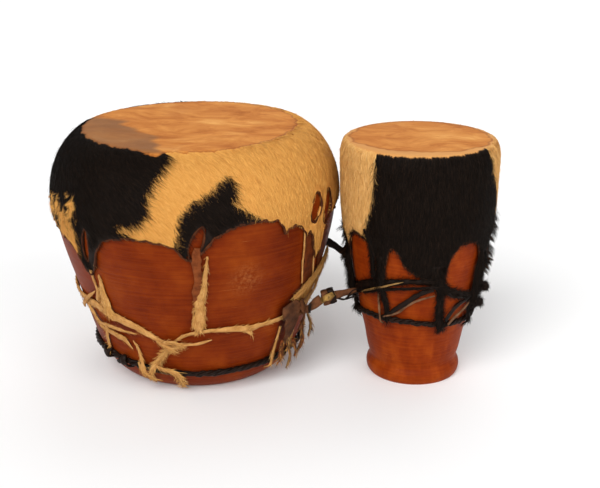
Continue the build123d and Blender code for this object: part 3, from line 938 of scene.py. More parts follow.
def hairs_on(name, strips, count, length, shades, seed, splay, lift, both_ways=False):
    """Hairs that grow from strips and lie along them, more or less on end."""
    generator = np.random.default_rng(seed)
    steps = [np.linalg.norm(np.gradient(strip.centre, axis=0), axis=1) for strip in strips]
    share = np.array([(strip.width * step).sum() for strip, step in zip(strips, steps)])
    roots, mids, tips, sides = [], [], [], []
    for strip, part in zip(strips, share / share.sum()):
        many = max(2, int(count * part))
        weight = strip.width / strip.width.sum()
        step = generator.choice(len(strip.centre), many, p=weight)
        turn = generator.uniform(-0.35, math.pi + 0.35, many)
        root = strip.ring(turn, step, 0.9)
        outward = unit(root - strip.centre[step] + strip.normal[step] * strip.width[step, None] * 0.25)
        way = strip.along[step]
        if both_ways:
            way = way * generator.choice([-1, 1], many)[:, None]
        sway = strip.side[step] * generator.normal(0, splay, many)[:, None]
        rise = outward * (lift * generator.uniform(0.3, 1.6, many))[:, None]
        long = (length * generator.uniform(0.4, 1.3, many))[:, None]
        way = unit(way + sway + rise)
        curl = unit(generator.normal(0, 1, (many, 3))) * long * 0.12
        roots.append(root)
        mids.append(root + way * long * 0.5 + outward * long * 0.06)
        tips.append(root + way * long + curl)
        sides.append(unit(np.cross(way, outward)))
    root, mid, tip, side = (np.concatenate(part) for part in (roots, mids, tips, sides))
    width = generator.uniform(*LACE_WIDTH, len(root))
    tip[:, 2] = np.maximum(tip[:, 2], LOWEST + 0.0001)
    return ribbons(name, root, mid, tip, side, width, pick_shades(generator, len(root), shades), shades)


def fit(piece, drum, slot, *nodes):
    """Let a piece ride on a drum, and stand for CAD nodes if any are named. The slot is not used."""
    if nodes:
        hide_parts(*nodes)
    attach(piece, drum.body)


# ---- big drum: thongs, lace, hoop and ties

# Rows of azimuth, height, gap, width, thickness and, where the strip is turned, twist
BIG_THONG_STRIPS = {
    1: [[(-92, 126, 0.8, 7, 2), (-91, 112, 0.5, 7, 2), (-93, 97, 0.5, 9, 2.2), (-92, 84, 2.0, 13, 2)]],
    2: [
        [(-30.2, 116, 0.9, 1.2, 1.4), (-30.4, 108, 0.6, 3.2, 1.6), (-31.6, 98, 0.5, 8.5, 1.8),
         (-32.4, 88, 0.6, 14, 1.8), (-32.2, 81, 1.2, 15, 1.8), (-31, 75, 2.4, 8, 1.6)],
        [(-34.2, 119, 1.0, 4, 2), (-35, 110, 0.5, 2.5, 1.6), (-34.8, 100, 0.5, 3, 1.6),
         (-37, 86, 1, 4, 1.6)],
    ],
    3: [
        [(17.2, 143, 0.6, 1.5, 1.4), (16.4, 128, 0.5, 3.2, 1.8), (15.6, 113, 0.5, 5.5, 2),
         (13.9, 99, 0.6, 9, 2.2), (13.5, 86, 1.0, 11, 2.2), (13.2, 77, 2.6, 10, 1.8), (13, 71, 3.4, 5, 1.4)],
        [(13.6, 151, 0.4, 5, 1.4), (13.2, 142, 2.2, 7.5, 2), (13.2, 134, 1, 7, 2), (13.4, 122, 0.5, 6.5, 2),
         (12.8, 108, 0.5, 6.5, 2), (12.2, 94, 0.5, 5, 1.8)],
    ],
    4: [
        [(58.9, 149, 0.9, 1.7, 1.4), (60, 132, 0.9, 1.4, 1.4), (61.2, 117, 0.9, 1.4, 1.4),
         (64.3, 97, 1.2, 1.8, 1.4)],
        [(66.3, 142, 1.0, 2.2, 1.5), (68, 127, 1.1, 1.5, 1.4), (70.5, 111, 1.1, 1.5, 1.4),
         (75.4, 91, 1.4, 2.2, 1.4)],
        [(90, 114, 0.8, 5, 1.8), (83.5, 105, 1.3, 11, 2), (76, 95.5, 1.6, 13.5, 2),
         (67.5, 88.8, 2.0, 12, 2), (60.5, 85, 2.4, 5, 1.6)],
        [(62.6, 152, 0.3, 12, 1), (63.8, 132, 0.3, 14, 1), (66, 115, 0.3, 16, 1), (69.5, 95, 0.3, 16, 1)],
        [(75, 146, 0.3, 12, 1), (77, 125, 0.3, 14, 1), (80.5, 105, 0.3, 14, 1), (81, 96, 0.3, 11, 1)],
    ],
    5: [[(113.4, 126, 0.8, 8, 2), (114, 111, 0.5, 7, 2), (112, 94, 0.5, 10, 2.2), (113, 74, 2.0, 13, 2)]],
    6: [[(164.8, 132, 0.8, 8, 2), (166, 112, 0.5, 6, 2), (164, 90, 0.5, 9, 2.2), (165, 67, 2.0, 14, 2)]],
    7: [[(216.3, 124, 0.8, 7, 2), (215, 109, 0.5, 6, 2), (217, 93, 0.5, 9, 2.2), (216, 78, 2.0, 13, 2)]],
}
THONG_MATERIALS = {3: [PALE_RAWHIDE, BROWN_RAWHIDE], 4: [PALE_RAWHIDE] * 3 + [DARK_RAWHIDE]}
# Count, length and lift of the hairs on a thong
THONG_HAIR = {3: (450, 0.005, 0.12), 4: (2400, 0.008, 0.3)}
for number, routes in BIG_THONG_STRIPS.items():
    strips = strips_on(big, routes, 40 + 5 * number, 0.14)
    thong = strip_object(f"big_thong_strip_{number}", strips, THONG_MATERIALS.get(number, PALE_RAWHIDE))
    fit(thong, big, "pale_thong", f"big_thong_{number}")
    # Only the broad tail of thong 4 and the first strip of the others keep their hair
    haired = strips[2:3] or strips[:1]
    count, length, lift = THONG_HAIR.get(number, (500, 0.006, 0.2))
    hairs = hairs_on(f"big_thong_hair_{number}", haired, count, length, PALE_SHADES, 60 + number, 0.4, lift)
    fit(hairs, big, "cowhide")

# The lace runs round the drum once and its ends cross at the front
BIG_LACE = [
    (0.5, 57.5, 1.5, 2, 1.2), (3.5, 61.5, 1.2, 3, 1.6, -10), (7.5, 66.5, 1.0, 3.6, 1.8, -20),
    (14, 69, 0.8, 3.4, 1.8, -20), (22, 69.6, 0.6, 3.8, 2, 10), (31, 68.8, 0.6, 5, 2, 20),
    (37.5, 66.6, 0.6, 6.5, 1.8, 10), (42, 67, 0.6, 4.6, 1.8, -5), (53, 67.4, 0.6, 4, 2),
    (64, 69, 0.8, 4.5, 2.2, 20), (85, 73, 0.6, 6, 2), (113, 74, 0.6, 5, 2.2, -20), (138, 69, 0.6, 7, 2),
    (165, 66, 0.6, 5.5, 2.4, 20), (192, 73, 0.6, 7, 2), (216, 78, 0.6, 5, 2.4, -20), (243, 82, 0.6, 7, 2),
    (268, 83, 0.8, 6, 2.4, 15), (290, 81, 0.8, 8, 2.2), (308, 80, 0.8, 8.5, 2.2), (320, 80, 1.0, 9, 2.2),
    (330, 76.5, 1.0, 8.5, 2.2, 8), (341.5, 70.6, 0.8, 6.5, 2, 10), (350.5, 62.6, 0.6, 4.6, 2, 15),
    (356.8, 56.8, 0.8, 4, 2.2, 30), (361.6, 55.2, 1.4, 4.4, 2.4, 60), (366, 57.4, 1.6, 5, 2.2, 100),
    (371.5, 57.2, 1.6, 4, 2, 150), (379, 60, 1.8, 0.8, 0.8, 180),
]
LACE_FLAPS = [
    [(33.5, 67, 0.8, 3, 1.6, 20), (37.6, 63, 1.0, 5.5, 1.4, 60), (38, 58.4, 1.4, 0.6, 0.8, 70)],
    [(-50, 77, 1.4, 6, 2), (-45.5, 63, 1.0, 7, 2), (-40.5, 55.5, 0.8, 6, 2), (-33, 54.5, 0.6, 5, 2),
     (-26.5, 51.5, 0.6, 6.5, 1.8), (-22.6, 43.5, 1.0, 0.7, 0.8)],
    [(-45, 60, 1.6, 3, 1.6), (-34, 64, 3.4, 3.4, 1.4), (-24, 63.5, 3.0, 3, 1.4), (-17, 62.5, 2.6, 0.8, 0.8)],
    [(-58, 68, 2.6, 4, 1.6), (-47, 82, 3.4, 4, 1.6), (-41, 90, 3.2, 3.4, 1.6), (-36, 97, 2.2, 0.8, 0.8)],
]
lace_strips = [on_wall(big, BIG_LACE, 5, 0.12), *strips_on(big, LACE_FLAPS, 6, 0.16)]
fit(strip_object("big_waist_strip", lace_strips, PALE_RAWHIDE), big, "pale_thong", "big_waist_lace")
fit(hairs_on("big_waist_hair", lace_strips, 2200, 0.005, PALE_SHADES, 8, 0.4, 0.18), big, "cowhide")

# How far a hoop's strands stand from its middle line, as a share of its radius, and their width
STRAND_OFFSET, STRAND_WIDTH = 0.55, 1.25
HOOP_STRANDS = 3


def twisted_hoop(drum, rows, radius, turns, seed):
    """Strands of dark hide twisted round each other on a ring that follows rows of azimuth and height."""
    heights = sorted((azimuth % 360, height) for azimuth, height in rows)
    made = []
    for strand in range(HOOP_STRANDS):
        a = np.linspace(0, 360, 900, endpoint=False)
        z = np.interp(a, *zip(*heights), period=360)
        phase = np.radians(a * turns + strand * 360 / HOOP_STRANDS + 25 * noise_1d(a, seed, 4, 2))
        size = radius * (1 + 0.18 * noise_1d(a, seed + strand + 1, 9, 3))
        gap = radius + 0.3 + STRAND_OFFSET * size * np.cos(phase)
        centre = drum.wall(a, (z + STRAND_OFFSET * size * np.sin(phase)) * MM, gap * MM)
        width = STRAND_WIDTH * size * MM
        outward = drum.wall_normal(a, z * MM)
        made.append(Strip(centre, outward, width, width * 0.85, 0 * a, seed + strand, 0.12, True))
    return made


BIG_HOOP = [
    (-130, 27), (-60, 29), (-42, 30), (-32, 29), (-20, 27), (-10, 24.5), (3, 24), (22, 23.5), (40, 24.5),
    (60, 25.5), (120, 26), (180, 26),
]
big_hoop_strips = twisted_hoop(big, BIG_HOOP, 2.3, 26, 70)
# Loose turns of hide round the hoop: azimuth, height, lean and size
WRAPS = ((-46, 30, 6, 4), (-41.5, 30.5, -4, 5), (-36, 29, 7, 3.5), (-31, 29.5, 2, 5.5), (-26, 28, -5, 4))
wrap_routes = [
    [(a, z - 5, 1.5, 2, 1.6), (a + lean * 0.3, z - 2, 4.8, size, 2.2, 15),
     (a + lean * 0.7, z + 2.5, 5, size, 2.2), (a + lean, z + 5, 1.5, 2, 1.4)]
    for a, z, lean, size in WRAPS
]
wraps = strips_on(big, wrap_routes, 90, 0.3)
fit(strip_object("big_hoop_twist", big_hoop_strips + wraps, DARK_LEATHER), big, "twisted_hide", "big_hoop")

BIG_TIES = [
    [(-37, 62, 1, 4, 1.8), (-40.5, 47, 0.8, 3.5, 1.8), (-42, 35, 1.5, 3.5, 1.8), (-42.3, 28, 5, 2, 1.4)],
    [(-20.8, 53, 1, 0.8, 0.8), (-18.8, 45, 0.8, 2.4, 1.6), (-17.5, 34, 3.2, 3.2, 1.6),
     (-17.2, 24, 5.4, 4.4, 1.6), (-16.4, 16, 2.8, 5, 1.6), (-15.2, 8, 1.5, 1, 1)],
    [(56, 58, 1, 2.5, 1.6), (55.5, 46, 0.8, 2, 1.6), (53.5, 31, 3.5, 2.6, 1.6), (53, 22, 5, 2.6, 1.6),
     (52.5, 16, 1, 1, 1)],
    [(70, 68, 1, 3.5, 1.8), (68, 48, 0.8, 3, 1.8), (66, 31, 3.5, 3.5, 1.8), (65, 20, 3.5, 1, 1)],
]
for a, z in ((113.4, 70), (164.8, 62), (216.3, 74), (267.6, 80)):
    for side in (-1, 1):
        BIG_TIES.append(
            [(a + side * 1.5, z, 1.4, 4, 1.8), (a + side * 5, z - 18, 0.8, 3.5, 1.8),
             (a + side * 8.5, 32, 3.2, 4, 1.8), (a + side * 9.5, 24, 5.2, 4, 1.8),
             (a + side * 10, 17, 1, 1.5, 1)]
        )
tie_strips = strips_on(big, BIG_TIES, 110, 0.14)
fit(strip_object("big_tie_strips", tie_strips, PALE_RAWHIDE), big, "pale_thong", "big_down_ties")
fit(hairs_on("big_tie_hair", tie_strips, 1500, 0.006, PALE_SHADES, 12, 0.5, 0.25), big, "cowhide")

FRONT_KNOT = [
    [(-5.2, 53, 1.5, 2.6, 1.8), (-2.6, 58.6, 4, 4.2, 2, 10), (1, 60, 4.6, 4.4, 2, -10),
     (4, 56.8, 4.2, 4, 1.8, 15), (4.6, 52.4, 2, 1.6, 1.4)],
    [(-7, 58.8, 2.4, 2, 1.4), (-2.8, 56.2, 5.2, 4, 1.8), (0.6, 52, 4.8, 3.6, 1.8), (0.2, 47.4, 2, 1.4, 1.2)],
    [(0, 54, 1.5, 4, 1.8), (-2.3, 49.6, 1.5, 4.6, 1.8), (-6, 40.4, 1, 4.4, 1.8),
     (-9.4, 33.2, 2.4, 4.6, 1.6), (-12, 27.5, 5.2, 4, 1.6), (-12.8, 22.5, 5, 1, 1)],
    [(-11, 32, 2.4, 1.5, 1.2), (-7, 30.4, 4.6, 4.4, 1.5), (-2.4, 29.3, 5.6, 5.2, 1.5),
     (1.1, 25.5, 5.4, 6, 1.4), (2.2, 17.5, 4, 4.4, 1.3), (1.9, 9, 2.2, 2.6, 1.2), (1.6, 3, 1.4, 0.7, 0.8)],
    [(-21, 30, 2, 1.6, 1.2), (-17.6, 24.5, 6.2, 4, 1.5), (-14.2, 17.5, 4.5, 3.4, 1.3),
     (-12, 12.5, 2, 0.7, 0.8)],
]
knot_strips = strips_on(big, FRONT_KNOT, 130, 0.2)
fit(strip_object("big_knot_strips", knot_strips, PALE_RAWHIDE), big, "pale_thong", "big_front_knot")
fit(hairs_on("big_knot_hair", knot_strips, 1000, 0.0065, PALE_SHADES, 13, 0.5, 0.22), big, "cowhide")

# ---- big drum: leather flap and its tails

FLAP = [
    [(56.5, 83, 3.2, 15, 1.6, -6), (57.5, 78, 5.2, 21, 2.4, -4), (59, 70, 6.2, 20, 2.2, -2),
     (59.5, 60, 6.4, 15.5, 2.2), (59, 50, 6.2, 11, 2.2, 3), (58.2, 43, 5.8, 7.5, 2, 4),
     (58, 41, 5.6, 4, 1.2, 4)],
    [(63, 81, 4.2, 9, 2, 10), (65.5, 74, 7.4, 9, 2, 20), (66.5, 64, 8.4, 6, 2, 30),
     (65.5, 52, 8, 4, 1.8, 35)],
]
flap_strips = strips_on(big, FLAP, 150, 0.07)
fit(strip_object("big_flap_leather", flap_strips, BROWN_LEATHER), big, "brown_leather", "big_strap_flap")

TAILS = [
    [(59.5, 48, 6.5, 5, 1.8), (60, 40, 9, 4.4, 1.6, 20), (60.2, 32, 12, 5, 1.4, 40),
     (60, 21, 15, 0.8, 0.8, 60)],
    [(57, 46, 5.5, 4, 1.6, 10), (56.2, 39, 7.5, 4, 1.4, -10), (56, 31, 9, 4.5, 1.4, -30),
     (54.8, 25, 10, 0.8, 0.8, -40)],
    [(66, 60, 8, 3, 1.4, 20), (68, 49, 11, 4.4, 1.4), (67.5, 39, 13, 4.5, 1.4, -20), (66, 31, 14, 0.8, 0.8)],
    [(69, 70, 7, 3.4, 1.6, 40), (72, 59, 10, 4.4, 1.4, 60), (73.5, 50, 12, 5, 1.4, 40),
     (74, 42, 13, 0.8, 0.8, 20)],
    [(62.5, 45, 9, 4, 1.4), (63.6, 37, 12, 5, 1.4, 30), (64.4, 29, 14, 0.8, 0.8, 50)],
]
tail_strips = strips_on(big, TAILS, 160, 0.24)
tail_materials = [WORN_LEATHER_AND_HIGHLIGHT, BROWN_RAWHIDE, BROWN_RAWHIDE, WORN_LEATHER_AND_HIGHLIGHT, BROWN_RAWHIDE]
fit(strip_object("big_tail_strips", tail_strips, tail_materials), big, "pale_thong", "big_flap_tails")
fit(hairs_on("big_tail_hair", tail_strips, 800, 0.006, MIXED_SHADES, 14, 0.6, 0.4), big, "cowhide")

# ---- small drum: thongs, lace, hoop and ties

SMALL_THONG_STRIPS = {
    1: [[(-69, 120, 0.8, 7, 2), (-69.5, 108, 0.6, 7, 2.2), (-69, 96, 0.8, 8, 2.2), (-69.5, 84, 1.5, 9, 2)]],
    2: [
        [(-26, 128, 1.2, 7, 2.2), (-27, 118, 0.8, 7, 2.2), (-27.5, 108, 1, 7, 2.2), (-27, 99, 3, 6, 2)],
        [(-39.5, 150, 2.0, 3, 1.8), (-35.5, 139, 1.4, 3.5, 1.8), (-34.5, 122, 0.8, 3.5, 1.8),
         (-34.5, 106, 1, 4, 1.8)],
    ],
    3: [[(20, 122, 1.6, 12, 2), (20.3, 114, 1.0, 9, 2.2), (21.5, 107, 1.6, 7, 2.2), (24, 98, 3, 6, 2)]],
    4: [[(65, 128, 1.4, 8, 2.2), (64.5, 114, 0.8, 7.5, 2.2), (65.5, 100, 0.8, 9, 2.2), (65, 84, 2, 9, 2.2)]],
    5: [[(112, 118, 1, 7, 2), (111, 108, 0.6, 6, 2.2), (110.5, 96, 2.4, 9, 2)]],
    6: [[(157, 116, 1, 7, 2), (156, 102, 0.6, 6, 2.2), (155.5, 88, 2.4, 9, 2)]],
    7: [[(202, 118, 1, 7, 2), (201, 108, 0.6, 6, 2.2), (200.5, 97, 2.4, 9, 2)]],
    8: [[(247, 116, 1, 7, 2), (246, 101, 0.6, 6, 2.2), (245.5, 86, 2.4, 9, 2)]],
}
SMALL_HAIR = {1: (2600, 0.010, 0.7), 4: (3000, 0.010, 0.6)}
for number, routes in SMALL_THONG_STRIPS.items():
    strips = strips_on(small, routes, 200 + 5 * number, 0.14)
    thong = strip_object(f"small_thong_strip_{number}", strips, BLACK_RAWHIDE)
    fit(thong, small, "dark_thong", f"small_thong_{number}")
    count, length, lift = SMALL_HAIR.get(number, (1500, 0.007, 0.3))
    name = f"small_thong_hair_{number}"
    fit(hairs_on(name, strips, count, length, BLACK_SHADES, 260 + number, 0.4, lift), small, "cowhide")

SMALL_LACE = [
    (-69, 84, 1, 8, 2.6), (-55, 90, 1, 10, 2.6, 5), (-40, 97, 1, 10, 2.6), (-27, 101.5, 1, 8, 2.6),
    (-12, 106, 1, 5, 2.6, 15), (5, 107.5, 1, 5, 2.6, -10), (20.5, 105.5, 1, 6.5, 2.6),
    (32, 96.5, 1, 6, 2.6, 10), (49, 90, 1, 5, 2.6, -10), (65, 84, 1, 6.5, 2.6), (88, 91, 1, 5, 2.6, 15),
    (110.5, 96, 1, 5.5, 2.6), (133, 91, 1, 5, 2.6, -15), (155.5, 88, 1, 5.5, 2.6), (178, 94, 1, 5, 2.6, 15),
    (200.5, 98, 1, 5.5, 2.6), (223, 91, 1, 5, 2.6, -15), (245.5, 86, 1, 5.5, 2.6),
    (268, 84, 1, 5.5, 2.6, 10),
]
# A second strand over the lace, and a thin pale strand over its front: a painted highlight on the lace.
SMALL_SECOND = [
    (-46, 88, 3.4, 3, 1.6), (-30, 96, 3.6, 3.4, 1.6, 20), (-10, 100.5, 3.4, 2.6, 1.6),
    (8, 103, 3.6, 2.6, 1.6, -20), (22, 102, 3.8, 3, 1.6), (34, 92.5, 3.4, 2.4, 1.6, 10),
    (50, 87, 3.2, 1.2, 1),
]
SMALL_LACE_HIGHLIGHT = [
    (-52, 86, 2.8, 0.9, 1), (-46, 89.5, 3.6, 1.4, 1, 20), (-38, 94, 4.4, 2, 1, 10),
    (-22.5, 101.4, 4.8, 1.8, 1, -10), (-13, 105.6, 4.4, 1.2, 1), (-7, 107.4, 3.6, 0.6, 0.8),
]
small_lace = [on_wall(small, SMALL_LACE, 300, 0.12, closed=True)]
small_lace += strips_on(small, [SMALL_SECOND, SMALL_LACE_HIGHLIGHT], 301, 0.12)
# The third strip, the painted highlight, takes the paler leather.
lace_materials = [BLACK_RAWHIDE, BLACK_RAWHIDE, WORN_LEATHER_AND_HIGHLIGHT]
fit(strip_object("small_waist_strip", small_lace, lace_materials), small, "dark_thong", "small_waist_lace")
fit(hairs_on("small_waist_hair", small_lace[:2], 5200, 0.006, BLACK_SHADES, 15, 0.5, 0.3), small, "cowhide")

SMALL_HOOP = [
    (-130, 65), (-69, 64.5), (-45, 67), (-29, 66.5), (-15, 67.5), (-2, 67), (14, 65.5), (31, 63.5),
    (45, 62.5), (60, 62), (90, 62.5), (150, 64),
]
small_hoop_strips = twisted_hoop(small, SMALL_HOOP, 2.1, 17, 320)
fit(strip_object("small_hoop_twist", small_hoop_strips, DARK_LEATHER), small, "twisted_hide", "small_hoop")

# The first tie is a thin pale strip beside the black tie that follows it: a painted highlight on that tie's
# edge.
SMALL_TIES = [
    [(-29.4, 97.5, 4.2, 1.0, 1.2), (-29.8, 92, 2.4, 1.8, 1.4), (-30.8, 77, 1.8, 1.8, 1.4),
     (-28.8, 66.5, 5, 1.8, 1.4), (-25.5, 64.5, 5.2, 1.2, 1)],
    [(-26, 98, 3, 5, 1.8), (-25, 86, 1, 5, 1.8), (-24, 76, 1, 3.5, 1.8), (-23, 66, 4.8, 3, 1.6)],
    [(23.5, 102, 3.8, 5, 1.8), (24.6, 88, 1.4, 6, 2), (25.5, 72, 2.2, 6, 2), (26.8, 63, 5.2, 6, 1.8),
     (28.3, 56, 2.4, 1, 1)],
    [(65, 82, 2.6, 5, 2), (63, 72, 1.4, 4.5, 2), (62, 62, 4.8, 4, 1.8), (61, 56, 1.6, 1, 1)],
]
for a, z in ((110.5, 94), (155.5, 86), (200.5, 96), (245.5, 84), (290.5, 82)):
    SMALL_TIES.append(
        [(a, z, 2.6, 4.5, 2), (a - 1, z - 12, 1, 4.5, 2), (a, 66, 4.2, 4.5, 1.8), (a + 1, 58, 1.6, 1, 1)]
    )
small_ties = strips_on(small, SMALL_TIES, 340, 0.14)
tie_materials = [EDGE_HIGHLIGHT_HIDE, BLACK_RAWHIDE]
fit(strip_object("small_tie_strips", small_ties, tie_materials), small, "dark_thong", "small_down_ties")
fit(hairs_on("small_tie_hair", small_ties[1:], 3400, 0.006, BLACK_SHADES, 16, 0.5, 0.35), small, "cowhide")

# The first two strips are thin pale rawhide along the lower edges of the dark climbing laces: painted
# highlights on those edges.
SMALL_CLIMBS = [
    [(-26, 70.5, 4.4, 1.4, 1.2), (-12.6, 75.8, 2.6, 2.2, 1.4), (-4.9, 83.6, 2.4, 2.4, 1.4),
     (7.3, 91, 2.6, 2, 1.4), (18.3, 95.4, 4.4, 1.2, 1)],
    [(34, 64.5, 5, 2.2, 1.6), (43, 69.2, 2.2, 2.4, 1.6, 10), (53, 74, 2, 2.2, 1.6), (60, 80, 2.6, 1.6, 1.4)],
    [(-28, 68.5, 3.5, 3, 1.8), (-19, 75.5, 1.4, 4.2, 1.8, 10), (-5, 86.8, 1.2, 4.8, 1.8, 20),
     (7, 96.4, 1.6, 4.6, 1.8, -10), (17, 100.8, 3.8, 3, 1.8)],
    [(30.5, 68.5, 4.4, 3.4, 1.8), (40, 77.8, 1.4, 4, 2, 15), (51, 83, 1.4, 4, 2, -10), (58, 87, 3, 3, 1.8)],
]
for a in (65.5, 110.5, 155.5, 200.5, 245.5):
    SMALL_CLIMBS.append(
        [(a + 2, 69, 4.6, 3, 1.8), (a + 14, 74, 1.2, 3.6, 2, 15), (a + 28, 81, 1.2, 3.6, 2, -15),
         (a + 40, 86, 3.4, 3, 1.8)]
    )
climbs = strips_on(small, SMALL_CLIMBS, 360, 0.14)
climb_piece = strip_object("small_climb_strips", climbs, [EDGE_HIGHLIGHT_HIDE, EDGE_HIGHLIGHT_HIDE, DARK_LEATHER])
fit(climb_piece, small, "dark_leather", "small_climbing_laces")

# ---- the ties between the drums

TOWARD_VIEWER = (0.1, -0.95, 0.3)
# Rows of X from the big drum's axis, Y, Z, width, thickness and twist
FRONT_STRAP = [
    [(95, -56, 67, 5, 2.4), (103.5, -49.5, 68.5, 5.5, 2.6, 15), (110.5, -43.5, 70.5, 6.5, 2.6),
     (115.5, -39.8, 73.5, 8.5, 2.8, -10), (120.5, -37, 77, 8, 2.8)],
    [(110.6, -45.6, 66.5, 2.4, 1), (111, -46.2, 71, 2.6, 1), (111.6, -45.2, 75.5, 2.4, 1)],
    [(131, -34.5, 80, 8, 2.8), (138, -31.8, 81, 6.5, 2.6, 20), (145, -29.6, 82.5, 6, 2.4),
     (152, -31, 85, 5, 2, -20)],
]
for rise in (0, 3, 6):
    FRONT_STRAP.append(
        [(134, -35, 78, 1.6, 1.2), (141, -35, 77, 1.4, 1.2), (148, -36, 80 + rise, 1.2, 1),
         (156, -40, 84 + rise, 0.5, 0.5)]
    )
strap_strips = [in_air(route, TOWARD_VIEWER, 420 + i, 0.1) for i, route in enumerate(FRONT_STRAP)]
strap_materials = [BROWN_LEATHER, DARK_LEATHER, BROWN_LEATHER, BLACK_RAWHIDE]
strap_front = strip_object("tie_front_strips", strap_strips, strap_materials)

LOOP_POWER = 0.6


def loop_round(centre, along, reach, depth, width, thick, seed):
    """A band wound once round a strap at centre, reach above and below it and depth to its sides, in mm."""
    along = unit(np.array(along, float))
    up = unit(np.array((0.0, 0.1, 1.0)) - along * (0.1 * along[1] + along[2]))
    out = np.cross(up, along)
    rows = []
    for turn in np.radians(np.arange(0, 360, 30)):
        c, s = math.cos(turn), math.sin(turn)
        rise = up * reach * np.sign(s) * abs(s) ** LOOP_POWER
        rows.append((*(centre + rise + out * depth * np.sign(c) * abs(c) ** LOOP_POWER), width, thick))
    strip = in_air(rows, (0, 0, 1), seed, 0.1, closed=True)
    middle = centre * MM + np.array((big.x, 0, 0))
    strip.normal = unit(strip.centre - middle - along * ((strip.centre - middle) @ along)[:, None])
    strip.side = np.cross(strip.along, strip.normal)
    return strip


KNOT = np.array((126.4, -35.6, 79.2))
KNOT_WAY = np.array((0.93, 0.22, 0.28))
KNOT_BAND = [(120, -37, 75, 5, 2.2), (123.5, -41.6, 79, 6, 2.4, 20), (128, -41.9, 81.5, 6, 2.4, -10),
             (132, -37.5, 83.5, 5, 2)]
KNOT_CORE = [(121, -36, 78, 8, 6), (127, -35.6, 79.4, 9, 7), (132, -35, 80.5, 8, 6)]
knot_loops = [
    loop_round(KNOT - 2.8 * KNOT_WAY, KNOT_WAY, 6.0, 4.0, 6.5, 2.4, 430),
    loop_round(KNOT + 3.0 * KNOT_WAY, KNOT_WAY, 6.2, 4.2, 6.5, 2.4, 431),
    loop_round(KNOT, (0.62, 0.15, -0.75), 5.6, 5.4, 5.0, 2.2, 432),
    in_air(KNOT_BAND, TOWARD_VIEWER, 433, 0.15),
    in_air(KNOT_CORE, TOWARD_VIEWER, 434, 0.1),
]
# The band over the knot takes the leather with painted glints.
knot_materials = [BROWN_LEATHER, DARK_LEATHER, BROWN_LEATHER, PAINTED_GLINT_LEATHER, DARK_LEATHER]
strap_knot = strip_object("tie_knot_strips", knot_loops, knot_materials)
REAR_STRAP = [(112, 33.5, 109, 6, 2.4), (118, 36, 105, 8, 2.6, 10), (128, 37, 98.5, 7.5, 2.6),
              (139, 36, 92, 8, 2.6, -10), (150.5, 33.5, 85.5, 6, 2.4)]
strap_rear = strip_object("tie_rear_strips", [in_air(REAR_STRAP, (0, 0.9, 0.45), 440, 0.1)], DARK_LEATHER)
for piece, node in (
    (strap_front, "tie_strap_front"), (strap_knot, "tie_knot_front"), (strap_rear, "tie_strap_rear")
):
    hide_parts(node)
    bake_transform(piece)


def wound_knot(drum, azimuth, height, stand, size, seed):
    """A ball of lace wound three ways round itself, standing off a drum's wall. Sizes are in mm."""
    spot = drum.wall(azimuth, height * MM, stand * MM) / MM - np.array((big.x / MM, 0, 0))
    ways = ((0.2, 0.1, 1.0), (1.0, 0.3, 0.2), (0.3, 1.0, -0.4))
    shape = (0.55 * size, 0.5 * size, 0.95 * size, 0.75 * size)
    return [loop_round(spot, way, *shape, seed + i) for i, way in enumerate(ways)]


# Ends of lace that come out of the side knots
KNOT_ENDS = [
    [(66, 86, 2.4, 4, 2), (71, 89, 5, 4, 2, 20), (78, 93, 6, 3.5, 2)],
    [(66, 72, 2.4, 3.6, 2), (70, 74, 5, 3.6, 2, 20), (76, 78, 6, 3, 2)],
]
side_strips = wound_knot(small, 76.0, 90.5, 7.5, 4.6, 400) + wound_knot(small, 74.0, 76.0, 7.0, 4.4, 404)
side_strips += strips_on(small, KNOT_ENDS, 408, 0.15)
fit(strip_object("small_knot_strips", side_strips, BLACK_RAWHIDE), small, "dark_thong", "small_side_knots")
fit(hairs_on("small_knot_hair", side_strips, 700, 0.004, BLACK_SHADES, 17, 0.8, 0.4), small, "cowhide")

# ---- cut edges and loose tufts of the hides

# Thickness of the bead along a hide's edge, and round a slit
big.cut_size, small.cut_size = 0.0018, 0.0015
SLIT_BEAD = 0.0017


def cut_edge(drum):
    """The raw edge of a hide, a thin dark bead along its arches and round its slits."""
    azimuth = np.linspace(0, 360, 900, endpoint=False) + drum.edge[0][0]
    height = edge_height(drum, azimuth)
    down = drum.down_to(height)
    wave = 1 + 0.35 * noise_1d(azimuth, 51, 60, 2)
    centre = drum.coat(azimuth, down + 0.0004, -0.0005 + 0.0003 * wave)
    normal = drum.wall_normal(azimuth, height * MM)
    size = drum.cut_size * wave
    strips = [Strip(centre, normal, size, size, 0 * azimuth, 52, 0.25, True)]
    for i, (low_a, low_z, high_a, high_z, half) in enumerate(drum.slits):
        turn = np.linspace(0, 2 * math.pi, 60, endpoint=False)
        t = (1 + np.sin(turn)) / 2
        width = half * (0.72 + 0.25 * np.sin(t * math.pi))
        z = low_z + (high_z - low_z) * t + width * np.sin(turn) * 0.7
        radius = drum.clay_at(z * MM)[0] / MM
        a = low_a + (high_a - low_a) * t + np.degrees(width * np.cos(turn) / radius)
        size = SLIT_BEAD * (1 + 0.25 * np.sin(turn * 5 + i))
        ring = drum.coat(a, drum.down_to(z), -0.0005)
        strips.append(Strip(ring, drum.wall_normal(a, z * MM), size, size, 0 * turn, 54 + i, 0.2, True))
    fit(strip_object(drum.name + "_cut_edge", strips, CUT_EDGE), drum, "cowhide")
    return strips


cut_edge(big)
rim = cut_edge(small)[:1]
fit(hairs_on("small_edge_hair", rim, 3200, 0.005, BLACK_SHADES, 21, 0.7, 0.3, True), small, "cowhide")


